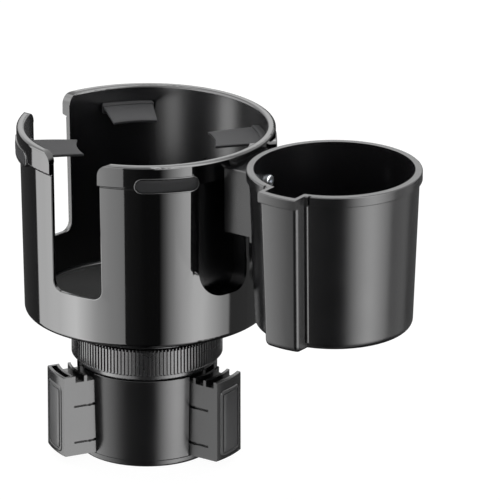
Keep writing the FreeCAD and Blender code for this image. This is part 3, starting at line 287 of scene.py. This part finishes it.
# %% The two cards
CARD_STRENGTH = 10.0
LEFT_ENDS = ((-85, 269), (-263, -104))      # mm to the right and toward the camera
LEFT_LOW, LEFT_HIGH = -80, 300
RIGHT_ENDS = ((479, 98), (427, -143))
RIGHT_LOW, RIGHT_HIGH = -150, 300
LEFT_GLOW = ((0.0, 0.32), (0.18, 0.40), (0.32, 0.48), (0.46, 0.70), (0.61, 0.27), (0.78, 0.08), (1.0, 0.03))
RIGHT_GLOW = ((0.0, 0.09), (0.7, 0.09), (1.0, 0.02))

left_reaches = lit_card("left_card", *LEFT_ENDS, LEFT_LOW, LEFT_HIGH, LEFT_GLOW, CARD_STRENGTH)
right_reaches = lit_card("right_card", *RIGHT_ENDS, RIGHT_LOW, RIGHT_HIGH, RIGHT_GLOW, CARD_STRENGTH)
left_reaches.objects.link(frame["nodes"]["scroll_ring"])
right_reaches.objects.link(frame["nodes"]["second_cup"])

# %% [markdown]
# ## Floor
# The floor is matt white paper. Lit paper would need far more light than the object, so the camera
# sees a glow almost as white as the background, with a faint shade left in it, and the base stands on
# something. Other rays meet plain paper. The walls don't mirror it, because the studio is drawn for
# them, and it lies a little below the base, so that the two undersides never share a plane.

# %% Floor
FLOOR_SIZE = 6.0
FLOOR_GLOW = 0.965
FLOOR_SHADE = 0.12
FLOOR_DROP_MM = 0.1

floor_mesh = bpy.data.meshes.new("floor")
shape = bmesh.new()
bmesh.ops.create_grid(shape, x_segments=1, y_segments=1, size=FLOOR_SIZE)
bmesh.ops.translate(shape, vec=(0, 0, -FLOOR_DROP_MM * MM), verts=shape.verts)
shape.to_mesh(floor_mesh)
shape.free()
floor = bpy.data.objects.new("floor", floor_mesh)
bpy.context.scene.collection.objects.link(floor)
floor.visible_glossy = False
floor.visible_shadow = False
print("floor side in m", 2 * FLOOR_SIZE)

# %% Matt white paper
paper = bpy.data.materials.new("matt_white_paper")
paper.use_nodes = True
tree = paper.node_tree
tree.nodes.clear()
lights = add_node(tree, "ShaderNodeLightPath")
lit = add_node(tree, "ShaderNodeBsdfDiffuse", None, Color=linear("#f4f4f4"))
glow = add_node(tree, "ShaderNodeEmission", None, Color=WHITE, Strength=FLOOR_GLOW)
faint = add_node(tree, "ShaderNodeBsdfDiffuse", None, Color=(FLOOR_SHADE, FLOOR_SHADE, FLOOR_SHADE, 1))
both = add_node(tree, "ShaderNodeAddShader", None, _0=(glow, 0), _1=(faint, 0))
mixed = add_node(tree, "ShaderNodeMixShader", None, _0=(lights, "Is Camera Ray"), _1=(lit, 0), _2=(both, 0))
add_node(tree, "ShaderNodeOutputMaterial", None, Surface=(mixed, 0))
floor_mesh.materials.append(paper)
print(paper.name, "nodes", len(tree.nodes))

# %% [markdown]
# ## Plastics and rubbers
# Every moulded surface carries the finish of its mould: a fine grain left by spark erosion or by
# blasting, and flow marks that change the gloss a little from place to place. A picture of a surface
# could give that, but it would need unwrapping and would show its pixels close up. Noise on Object
# coordinates has a size in millimetres and fits every piece: a small one for the grain's bump, and a
# large, soft one that moves the roughness up and down.

# %% Moulded surface
FLOW_MARK_MM = 22.0
FLOW_DETAIL = 2.0
GRAIN_DETAIL = 3.0
NOISE_LOW, NOISE_HIGH = 0.3, 0.7     # most of a noise's values lie between these


def moulded(name, colour, roughness, spread, grain_mm, grain_depth_mm, specular=0.5):
    """A moulded material: its colour, its roughness with a spread, and its grain's size and depth."""
    material = bpy.data.materials.new(name)
    material.use_nodes = True
    tree = material.node_tree
    shader = tree.nodes["Principled BSDF"]
    shader.inputs["Base Color"].default_value = linear(colour)
    shader.inputs["Specular IOR Level"].default_value = specular
    place = add_node(tree, "ShaderNodeTexCoord")
    flow = add_node(tree, "ShaderNodeTexNoise", None, Vector=(place, "Object"),
                    Scale=1 / (FLOW_MARK_MM * MM), Detail=FLOW_DETAIL)
    gloss = add_node(tree, "ShaderNodeMapRange", None, Value=(flow, 0), From_Min=NOISE_LOW,
                     From_Max=NOISE_HIGH, To_Min=roughness - spread, To_Max=roughness + spread)
    grain = add_node(tree, "ShaderNodeTexNoise", None, Vector=(place, "Object"),
                     Scale=1 / (grain_mm * MM), Detail=GRAIN_DETAIL)
    bump = add_node(tree, "ShaderNodeBump", None, Height=(grain, 0), Distance=grain_depth_mm * MM,
                    Strength=1.0)
    tree.links.new(gloss.outputs[0], shader.inputs["Roughness"])
    tree.links.new(bump.outputs["Normal"], shader.inputs["Normal"])
    print(name, "colour", colour, "roughness", roughness, "grain in mm", grain_mm)
    return material, tree, shader, gloss


# %% [markdown]
# ### Polished ABS
# The large cup is ABS from a polished mould: outside it mirrors the studio with sharp edges, inside
# the mould is only satin, so the wall glows softly. The outside has no grain, only a slow wave of a
# micron or two, as thick walls get when they cool, which makes the mirrored edges swim a little.
# Inside and outside could be two materials on one mesh. Here one material tells them apart by the
# distance from the cup's axis, because a radius between the two walls does it, above the floor's top.

# %% Polished ABS
SATIN_INSIDE = 0.25
BETWEEN_WALLS_MM = 55.9
ABOVE_FLOOR_MM = 69.0

polished, tree, shader, gloss = moulded("polished_black_abs", "#040405", roughness=0.05, spread=0.015,
                                        grain_mm=9.0, grain_depth_mm=0.0015)
place = add_node(tree, "ShaderNodeTexCoord")
axes = add_node(tree, "ShaderNodeSeparateXYZ", None, Vector=(place, "Object"))
plan = add_node(tree, "ShaderNodeCombineXYZ", None, X=(axes, "X"), Y=(axes, "Y"))
distance = add_node(tree, "ShaderNodeVectorMath", {"operation": "LENGTH"}, _0=(plan, 0))
within = add_node(tree, "ShaderNodeMath", {"operation": "LESS_THAN"}, _0=(distance, "Value"),
                  _1=BETWEEN_WALLS_MM * MM)
higher = add_node(tree, "ShaderNodeMath", {"operation": "GREATER_THAN"}, _0=(axes, "Z"),
                  _1=ABOVE_FLOOR_MM * MM)
inside = add_node(tree, "ShaderNodeMath", {"operation": "MULTIPLY"}, _0=(within, 0), _1=(higher, 0))
chosen = add_node(tree, "ShaderNodeMix", {"data_type": "FLOAT"}, _0=(inside, 0), _2=(gloss, 0),
                  _3=SATIN_INSIDE)
tree.links.new(chosen.outputs[0], shader.inputs["Roughness"])
print("satin inside a radius in mm of", BETWEEN_WALLS_MM)

# %% [markdown]
# ### Satin ABS, base plastic and ring
# The second cup and its bracket are ABS from a finely blasted mould: the eye gets the same studio as
# on the large cup, but with soft edges. The base comes from a plainer mould and is a little greyer.
# The ribbed ring has the dullest of the three finishes. Roughness alone would blur the studio, but
# too evenly for a real moulding, so a shallow grain breaks up the shine. Real blasting leaves pits
# far finer than a pixel, and here the grain is drawn at 0.7 to 0.8 mm, which still shows.

# %% Satin ABS and the base
satin = moulded("satin_black_abs", "#121213", roughness=0.24, spread=0.03,
                grain_mm=0.7, grain_depth_mm=0.003, specular=0.37)[0]
base = moulded("moulded_black_abs", "#141415", roughness=0.22, spread=0.03,
               grain_mm=0.8, grain_depth_mm=0.004, specular=0.38)[0]
ribbed = moulded("ribbed_black_abs", "#141415", roughness=0.26, spread=0.04,
                 grain_mm=0.8, grain_depth_mm=0.004)[0]

# %% [markdown]
# ### Rubbers
# Rubber scatters light where plastic mirrors it. The mats are closed-cell foam rubber with a pebbled
# skin, deep black and almost without shine. The tabs are dull silicone, which looks greyer than the
# plastic round it and softens every highlight. The jaws' pads are a firm, smooth dark rubber with a
# broad sheen. A velvet-like sheen layer could lighten the tabs too, but then they would glow at
# their edges. A greyer colour with little specular light stays even.

# %% Rubbers
mat_rubber = moulded("black_foam_rubber", "#0b0b0b", roughness=0.75, spread=0.05,
                     grain_mm=0.9, grain_depth_mm=0.08, specular=0.3)[0]
silicone = moulded("dull_black_silicone", "#363637", roughness=0.55, spread=0.04,
                   grain_mm=0.6, grain_depth_mm=0.008, specular=0.08)[0]
pad_rubber = moulded("firm_dark_rubber", "#1c1c1d", roughness=0.38, spread=0.05,
                     grain_mm=0.5, grain_depth_mm=0.006)[0]

# %% [markdown]
# ### Zinc-plated steel
# The screws and the bolt are steel with a thin bright zinc coat, a pale bluish metal. Zinc shows
# faint cloudy crystals, so a cell pattern of about a millimetre moves the roughness. A brushed
# pattern would be wrong, because these parts are plated in a drum and not ground.

# %% Zinc-plated steel
CRYSTAL_MM = 1.2
CRYSTAL_GLOSS = (0.26, 0.42)     # the roughness in the middle and at the border of a crystal

zinc = bpy.data.materials.new("zinc_plated_steel")
zinc.use_nodes = True
tree = zinc.node_tree
shader = tree.nodes["Principled BSDF"]
shader.inputs["Base Color"].default_value = linear("#b9bcc0")
shader.inputs["Metallic"].default_value = 1.0
place = add_node(tree, "ShaderNodeTexCoord")
cells = add_node(tree, "ShaderNodeTexVoronoi", None, Vector=(place, "Object"),
                 Scale=1 / (CRYSTAL_MM * MM))
cloud = add_node(tree, "ShaderNodeMapRange", None, Value=(cells, "Distance"),
                 To_Min=CRYSTAL_GLOSS[0], To_Max=CRYSTAL_GLOSS[1])
tree.links.new(cloud.outputs[0], shader.inputs["Roughness"])
print(zinc.name, "crystals in mm", CRYSTAL_MM)

# %% [markdown]
# ### Which part gets which finish
# The record of the CAD model names a material slot for each node, so one table from slot to finish
# dresses every node at once.

# %% Finishes by slot
finishes = {
    "gloss_shell": polished,
    "satin_shell": satin,
    "base_plastic": base,
    "ring_plastic": ribbed,
    "mat_rubber": mat_rubber,
    "tab_rubber": silicone,
    "pad_rubber": pad_rubber,
    "screw_steel": zinc,
}
for part in frame["record"]["subparts"]:
    node = frame["nodes"][part["node"]]
    node.data.materials.clear()
    node.data.materials.append(finishes[part["material_slot"]])
print("materials", [material.name for material in finishes.values()])

# %% [markdown]
# ## Helpers for the new pieces
# New pieces are modelled in millimetres, in place, and scaled to metres at the end. Sizes come from
# the frame where it has them: a node's box, and how near and far it reaches from the large cup's
# axis. Most forms here follow a round wall. They are easiest to make flat and are then bent round
# the axis by one function.

# %% Measures and bending


def box_mm(node):
    """A CAD node's lowest and highest corner in millimetres."""
    low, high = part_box(node)
    return low / MM, high / MM


def reach_mm(node):
    """How near and how far a CAD node's corners are from the large cup's axis, in millimetres."""
    distances = [v.co.to_2d().length / MM for v in frame["nodes"][node].data.vertices]
    return min(distances), max(distances)


def bend_round(verts):
    """Bends verts at (distance, sideways, height) round the axis: x becomes the circle's own x."""
    for v in verts:
        v.co.x = math.sqrt(v.co.x ** 2 - v.co.y ** 2)


def sharp_edges(shape, angle):
    """The edges of a bmesh whose faces turn by more than an angle in degrees."""
    return [e for e in shape.edges if len(e.link_faces) == 2 and e.calc_face_angle() > math.radians(angle)]


def soften(shape, edges, width, segments=2):
    """Rounds edges by a width in millimetres."""
    bmesh.ops.bevel(shape, geom=edges, offset=width, offset_type="OFFSET", segments=segments,
                    affect="EDGES", profile=0.5, material=-1, clamp_overlap=True)


# %% A finished piece
SMOOTH_ANGLE = 35
MERGE_MM = 0.001


def place_piece(mesh, name, body, slot_name, *nodes):
    """Puts a finished mesh in the scene as a piece on a body that stands for CAD nodes."""
    mesh.materials.clear()
    mesh.materials.append(finishes[slot_name])
    piece = bpy.data.objects.new(name, mesh)
    bpy.context.scene.collection.objects.link(piece)
    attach(piece, body)
    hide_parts(*nodes)
    return piece


def finished_piece(shape, name, body, slot_name, *nodes):
    """Turns a bmesh in millimetres into a piece, smooth apart from its sharp edges."""
    bmesh.ops.remove_doubles(shape, verts=shape.verts, dist=MERGE_MM)
    bmesh.ops.recalc_face_normals(shape, faces=shape.faces)
    open_edges = sum(1 for e in shape.edges if len(e.link_faces) != 2)
    bmesh.ops.scale(shape, vec=(MM, MM, MM), verts=shape.verts)
    mesh = bpy.data.meshes.new(name)
    shape.to_mesh(mesh)
    shape.free()
    mesh.shade_smooth()
    mesh.set_sharp_from_angle(angle=math.radians(SMOOTH_ANGLE))
    print(name, "faces", len(mesh.polygons), "open edges", open_edges)
    return place_piece(mesh, name, body, slot_name, *nodes)


# %% [markdown]
# ## Large cup
# The large cup's form comes from its CAD node, but a moulding has no knife edges: the two handle
# slots and the low frames round the grip tabs' heads have rounded edges that catch the light as thin
# bright lines. A bevel in the material would only shade them, and a Bevel modifier would round every
# sharp edge of the cup. So a copy of the node's mesh is merged, its flat faces are joined, and just
# these edges are bevelled, those of the slots only below the collar. The polished wall would show
# every wrong normal, so each corner keeps the normal that it came with, and only the new round faces
# get normals of their own.

# %% Pick the slots' edges
SLOTS = ((270.8, 13.3), (180.0, 14.0))      # azimuth in degrees, half width in mm
SLOT_REACH = 6.0                            # how far the flared mouth reaches past the half width
SLOT_LOWEST, SLOT_HIGHEST = 89.0, 142.0     # an edge starts above the one and below the other
SLOT_SHARP = 35                             # the least turn at an edge, in degrees
SLOT_WALL_TILT = 0.05                       # how much a slot's own wall may face outwards


def slot_edges(shape):
    """The edges of a merged cup, in metres, where a slot's own wall meets the cup's wall."""
    found = []
    for azimuth, half_width in SLOTS:
        out = Vector((math.cos(math.radians(azimuth)), math.sin(math.radians(azimuth)), 0))
        side = Vector((-out.y, out.x, 0))
        for edge in sharp_edges(shape, SLOT_SHARP):
            near = all(v.co.dot(out) > 0 and abs(v.co.dot(side)) < (half_width + SLOT_REACH) * MM
                       for v in edge.verts)
            near = near and SLOT_LOWEST * MM < min(v.co.z for v in edge.verts) < SLOT_HIGHEST * MM
            walls = [f for f in edge.link_faces if abs(f.normal.dot(out)) < SLOT_WALL_TILT]
            if near and len(walls) == 1:
                found.append(edge)
    return found


# %% Pick the edges of the frames round the tabs' heads
FRAME_DEPTH = 0.1
FRAME_SHARP = 50


def frame_edges(shape):
    """The edges that stand furthest out on the cup: those of the low frames round the tabs' heads."""
    furthest = (reach_mm("main_cup")[1] - FRAME_DEPTH) * MM
    return [e for e in sharp_edges(shape, FRAME_SHARP)
            if all(v.co.to_2d().length > furthest for v in e.verts)]


# %% Merge a copy of the cup
FLAT_ANGLE = 0.5

cup_mesh = frame["nodes"]["main_cup"].data.copy()
kept = cup_mesh.attributes.new("kept_normal", "FLOAT_VECTOR", "CORNER")
kept.data.foreach_set("vector", [c for normal in cup_mesh.corner_normals for c in normal.vector])
shape = bmesh.new()
shape.from_mesh(cup_mesh)
bmesh.ops.remove_doubles(shape, verts=shape.verts, dist=MERGE_MM * MM)
bmesh.ops.dissolve_limit(shape, angle_limit=math.radians(FLAT_ANGLE), verts=shape.verts,
                         edges=shape.edges)
print("merged cup, faces", len(shape.faces))

# %% Round its edges
SLOT_EDGE_ROUND = 0.6
FRAME_EDGE_ROUND = 0.22

rounded = set()
for title, pick, width, segments in (("slot", slot_edges, SLOT_EDGE_ROUND, 3),
                                     ("frame", frame_edges, FRAME_EDGE_ROUND, 2)):
    edges = pick(shape)
    print(title, "edges", len(edges), "length in mm", round(sum(e.calc_length() for e in edges) / MM))
    made = bmesh.ops.bevel(shape, geom=edges, offset=width * MM, offset_type="OFFSET",
                           segments=segments, affect="EDGES", profile=0.5, material=-1,
                           clamp_overlap=False)
    rounded |= set(made["faces"])
shape.normal_update()

# %% Give the corners their normals
layer = shape.loops.layers.float_vector["kept_normal"]
for face in rounded:
    for loop in face.loops:
        beside = [other[layer] for other in loop.vert.link_loops if other.face not in rounded]
        loop[layer] = max(beside, key=face.normal.dot) if beside else loop.vert.normal
turned_over = sum(1 for face in shape.faces if face.normal.dot(face.loops[0][layer]) < 0)
shape.to_mesh(cup_mesh)
shape.free()
cup_mesh.shade_smooth()
normals = [entry.vector.normalized() for entry in cup_mesh.attributes["kept_normal"].data]
cup_mesh.attributes.remove(cup_mesh.attributes["kept_normal"])
cup_mesh.normals_split_custom_set(normals)
large_cup = place_piece(cup_mesh, "large_cup", "root", "gloss_shell", "main_cup")
left_reaches.objects.link(large_cup)
print("large cup faces", len(cup_mesh.polygons), "turned over", turned_over)


# %% [markdown]
# ## Mats
# Each mat is a loose disc of foam rubber: a flat underside, a sloped edge that clears the cup's
# rounded floor, a low border and a slightly sunk middle. A cylinder with insets could be worked into
# that, but it is a turned form, so one profile spun round the axis gives all of it in one step.

# %% Mats
MAT_BORDER = 2.6
MAT_SUNK = 0.3
MAT_STEP = 0.3
MAT_EDGE_ROUND = 0.12
MAT_SHARP = 20               # the least turn, in degrees, of an edge that is rounded
MAT_FOOT = 0.1               # edges nearer to the underside than this stay as they are
SPIN_STEPS = 120


def mat(name, node, foot_chamfer, edge_chamfer):
    """A mat with a raised border, turned inside the box of its CAD node."""
    low, high = box_mm(node)
    radius = (high.x - low.x) / 2
    profile = [(0, low.z), (radius - foot_chamfer, low.z), (radius, high.z - edge_chamfer),
               (radius - edge_chamfer, high.z), (radius - MAT_BORDER, high.z),
               (radius - MAT_BORDER - MAT_STEP, high.z - MAT_SUNK), (0, high.z - MAT_SUNK)]
    shape = bmesh.new()
    verts = [shape.verts.new((r, 0, z)) for r, z in profile]
    edges = [shape.edges.new(pair) for pair in zip(verts, verts[1:])]
    bmesh.ops.spin(shape, geom=verts + edges, cent=(0, 0, 0), axis=(0, 0, 1), angle=2 * math.pi,
                   steps=SPIN_STEPS, use_merge=True)
    bmesh.ops.remove_doubles(shape, verts=shape.verts, dist=MERGE_MM)
    bmesh.ops.recalc_face_normals(shape, faces=shape.faces)
    rims = [e for e in sharp_edges(shape, MAT_SHARP) if e.verts[0].co.z > low.z + MAT_FOOT]
    soften(shape, rims, MAT_EDGE_ROUND)
    bmesh.ops.translate(shape, vec=((low.x + high.x) / 2, 0, 0), verts=shape.verts)
    return finished_piece(shape, name, "root", "mat_rubber", node)


mat("large_cup_mat", "main_mat", foot_chamfer=1.8, edge_chamfer=0.4)
mat("second_cup_mat", "second_mat", foot_chamfer=0.01, edge_chamfer=0.4)

# %% [markdown]
# ## Grip tabs
# Each tab is one moulding of silicone: a crowned pill-shaped head outside, a neck through the wall,
# a rounded bar along the wall inside, and a long soft flap that steadies a bottle. Cutting the pill
# out of a block would leave long thin faces across its crown. Instead the head starts from a grid
# whose rows are squeezed to the pill's outline, so its crown is smooth, and the flap from a grid
# drawn in to its tip. The bar and the neck are blocks with rounded edges. All are bent round the
# wall.

# %% Grip tab sizes
TAB_CROWN = 0.55
TAB_HEAD_THICKNESS = 1.3
TAB_BAR_THICKNESS = 2.8
TAB_BAR_HALF_WIDTH = 12.1
TAB_BAR_BELOW = 2.8
TAB_BAR_ABOVE = 1.8
TAB_NECK_HALF_WIDTH = 11.6
TAB_NECK_HALF_HEIGHT = 1.7
TAB_FLAP_LENGTH = 23.0
TAB_FLAP_ROOT_HALF_WIDTH = 11.6
TAB_FLAP_TIP_HALF_WIDTH = 10.2
TAB_FLAP_THICKNESS = 1.2
TAB_FLAP_ABOVE = 0.9
TAB_FLAP_DROOP = 0.7
TAB_BAR_ROUND = 0.8
TAB_NECK_ROUND = 0.3
TAB_NECK_OVERLAP = 1.0
TAB_FLAP_ROUND = 0.3
TAB_FLAP_SHARP = 60
TAB_COLUMNS = 28
TAB_ROWS = 8

tab_low, tab_high = box_mm("grip_tab_front_right")
tab_height = (tab_low.z + tab_high.z) / 2
tab_head_half_height = (tab_high.z - tab_low.z) / 2
tab_tip, tab_face = reach_mm("grip_tab_front_right")
tab_wall = tab_tip + TAB_FLAP_LENGTH
print("tab height", round(tab_height, 2), "tip", round(tab_tip, 2), "face", round(tab_face, 2))

# %% The head of a grip tab
TAB_HEAD_HALF_WIDTH = 14.4
TAB_CROWN_POWER = 5          # the higher, the flatter the middle and the rounder the edge


def tab_head(shape):
    """The crowned pill outside the collar."""
    made = bmesh.ops.create_grid(shape, x_segments=TAB_COLUMNS, y_segments=TAB_ROWS, size=1.0)
    straight = TAB_HEAD_HALF_WIDTH - tab_head_half_height
    for v in made["verts"]:
        across, upward = math.sin(v.co.x * math.pi / 2), math.sin(v.co.y * math.pi / 2)
        sideways = across * TAB_HEAD_HALF_WIDTH
        end = max(abs(sideways) - straight, 0)
        half_height = math.sqrt(max(tab_head_half_height ** 2 - end ** 2, 0))
        flatness = 1 - abs(upward) ** TAB_CROWN_POWER
        flatness *= 1 - (end / tab_head_half_height) ** TAB_CROWN_POWER
        v.co = (tab_face - TAB_CROWN * (1 - flatness), sideways, tab_height + upward * half_height)
    bend_round(made["verts"])
    bmesh.ops.remove_doubles(shape, verts=made["verts"], dist=MERGE_MM)
    bmesh.ops.recalc_face_normals(shape, faces=shape.faces)
    outward = 1 if sum(f.normal.x for f in shape.faces) > 0 else -1
    bmesh.ops.solidify(shape, geom=shape.faces, thickness=outward * TAB_HEAD_THICKNESS)


# %% The bar, the neck and the flap of a grip tab


def tab_block(low, high, rounding):
    """A rounded bar along the wall, between two corners (distance, sideways, height)."""
    shape = bmesh.new()
    bmesh.ops.create_cube(shape, size=1.0)
    size = Vector(high) - Vector(low)
    bmesh.ops.scale(shape, vec=size, verts=shape.verts)
    bmesh.ops.translate(shape, vec=(Vector(low) + Vector(high)) / 2, verts=shape.verts)
    soften(shape, shape.edges[:], rounding, 3)
    for step in range(1, TAB_COLUMNS // 2):
        cut = low[1] + size.y * step / (TAB_COLUMNS // 2)
        everything = shape.verts[:] + shape.edges[:] + shape.faces[:]
        bmesh.ops.bisect_plane(shape, geom=everything, plane_co=(0, cut, 0), plane_no=(0, 1, 0))
    bend_round(shape.verts)
    return shape


def tab_flap():
    """The long flap: a grid from the bar to the tip, a little lower at the tip, with rounded edges."""
    shape = bmesh.new()
    bmesh.ops.create_grid(shape, x_segments=TAB_ROWS, y_segments=TAB_COLUMNS // 2, size=0.5)
    for v in shape.verts:
        along, across = 0.5 - v.co.x, 2 * v.co.y
        half_width = TAB_FLAP_ROOT_HALF_WIDTH + (TAB_FLAP_TIP_HALF_WIDTH - TAB_FLAP_ROOT_HALF_WIDTH) * along
        start = tab_wall - TAB_BAR_THICKNESS / 2
        distance = start + (tab_tip - start) * along
        height = tab_height + TAB_FLAP_ABOVE - TAB_FLAP_DROOP * along ** 2
        v.co = (distance, across * half_width, height)
    bend_round(shape.verts)
    made = bmesh.ops.extrude_face_region(shape, geom=shape.faces[:], use_keep_orig=True)
    lower = [v for v in made["geom"] if isinstance(v, bmesh.types.BMVert)]
    bmesh.ops.translate(shape, vec=(0, 0, -TAB_FLAP_THICKNESS), verts=lower)
    bmesh.ops.recalc_face_normals(shape, faces=shape.faces)
    soften(shape, sharp_edges(shape, TAB_FLAP_SHARP), TAB_FLAP_ROUND)
    return shape


# %% The four grip tabs


def join(shape, other):
    """Adds another bmesh's geometry to a bmesh."""
    scratch = bpy.data.meshes.new("scratch")
    other.to_mesh(scratch)
    other.free()
    shape.from_mesh(scratch)
    bpy.data.meshes.remove(scratch)


def grip_tab(node):
    """One grip tab, made pointing along +X and turned to its node's place."""
    low, high = box_mm(node)
    azimuth = math.atan2((low.y + high.y) / 2, (low.x + high.x) / 2)
    shape = bmesh.new()
    tab_head(shape)
    join(shape, tab_block((tab_wall - TAB_BAR_THICKNESS, -TAB_BAR_HALF_WIDTH, tab_height - TAB_BAR_BELOW),
                          (tab_wall, TAB_BAR_HALF_WIDTH, tab_height + TAB_BAR_ABOVE), TAB_BAR_ROUND))
    neck_low = (tab_wall - TAB_NECK_OVERLAP, -TAB_NECK_HALF_WIDTH, tab_height - TAB_NECK_HALF_HEIGHT)
    neck_high = (tab_face - TAB_NECK_OVERLAP, TAB_NECK_HALF_WIDTH, tab_height + TAB_NECK_HALF_HEIGHT)
    join(shape, tab_block(neck_low, neck_high, TAB_NECK_ROUND))
    join(shape, tab_flap())
    bmesh.ops.rotate(shape, cent=(0, 0, 0), matrix=Matrix.Rotation(azimuth, 3, "Z"), verts=shape.verts)
    return finished_piece(shape, "silicone_" + node, "root", "tab_rubber", node)


for node in frame["nodes"]:
    if node.startswith("grip_tab"):
        grip_tab(node)

# %% [markdown]
# ## Jaw pads
# Each jaw carries a rubber pad with a flat frame, a thin groove and a crowned field. A groove could be
# cut with a boolean, but insets keep the rings even all the way round. The pad starts as one upright
# face with rounded corners. A list of steps insets it ring by ring and moves each new ring in or
# out, then upright cuts let it bend round the base.

# %% Jaw pads
PAD_CORNER = 2.4
PAD_CORNER_SEGMENTS = 6
# Each step is an inset and a move outwards: edge, frame, groove's side, its floor, its side, crown.
PAD_STEPS = ((0.35, 0.3), (0.9, 0.0), (0.2, -0.4), (0.45, 0.0), (0.2, 0.4), (1.6, 0.1))
PAD_THICKNESS = 1.1
PAD_COLUMNS = 16


def jaw_pad(letter):
    """A pad with a frame and a groove, on its jaw's body."""
    node = "jaw_pad_" + letter
    low, high = box_mm("jaw_pad_a")
    joint = next(j for j in frame["joints"] if j["name"] == f"jaw_{letter}_slide")
    azimuth = math.atan2(joint["axis"][1], joint["axis"][0])
    rise = sum(step[1] for step in PAD_STEPS)
    shape = bmesh.new()
    bmesh.ops.create_grid(shape, x_segments=1, y_segments=1, size=0.5)
    bmesh.ops.rotate(shape, cent=(0, 0, 0), matrix=Matrix.Rotation(math.pi / 2, 3, "Y"), verts=shape.verts)
    bmesh.ops.scale(shape, vec=(1, high.y - low.y, high.z - low.z), verts=shape.verts)
    middle = (high.x - rise - PAD_THICKNESS, 0, (low.z + high.z) / 2)
    bmesh.ops.translate(shape, vec=middle, verts=shape.verts)
    bmesh.ops.bevel(shape, geom=shape.verts[:], offset=PAD_CORNER, offset_type="OFFSET",
                    segments=PAD_CORNER_SEGMENTS, affect="VERTICES", profile=0.5, material=-1)
    if shape.faces[:][0].normal.x < 0:
        bmesh.ops.reverse_faces(shape, faces=shape.faces)
    made = bmesh.ops.extrude_face_region(shape, geom=shape.faces[:], use_keep_orig=True)
    front = next(f for f in made["geom"] if isinstance(f, bmesh.types.BMFace))
    bmesh.ops.translate(shape, vec=(PAD_THICKNESS, 0, 0), verts=front.verts)
    for width, outward in PAD_STEPS:
        bmesh.ops.inset_region(shape, faces=[front], thickness=width, use_even_offset=True)
        bmesh.ops.translate(shape, vec=(outward, 0, 0), verts=front.verts)
    for step in range(1, PAD_COLUMNS):
        cut = low.y + (high.y - low.y) * step / PAD_COLUMNS
        everything = shape.verts[:] + shape.edges[:] + shape.faces[:]
        bmesh.ops.bisect_plane(shape, geom=everything, plane_co=(0, cut, 0), plane_no=(0, 1, 0))
    bend_round(shape.verts)
    bmesh.ops.rotate(shape, cent=(0, 0, 0), matrix=Matrix.Rotation(azimuth, 3, "Z"), verts=shape.verts)
    return finished_piece(shape, "rubber_" + node, f"jaw_{letter}_body", "pad_rubber", node)


for letter in "abc":
    jaw_pad(letter)
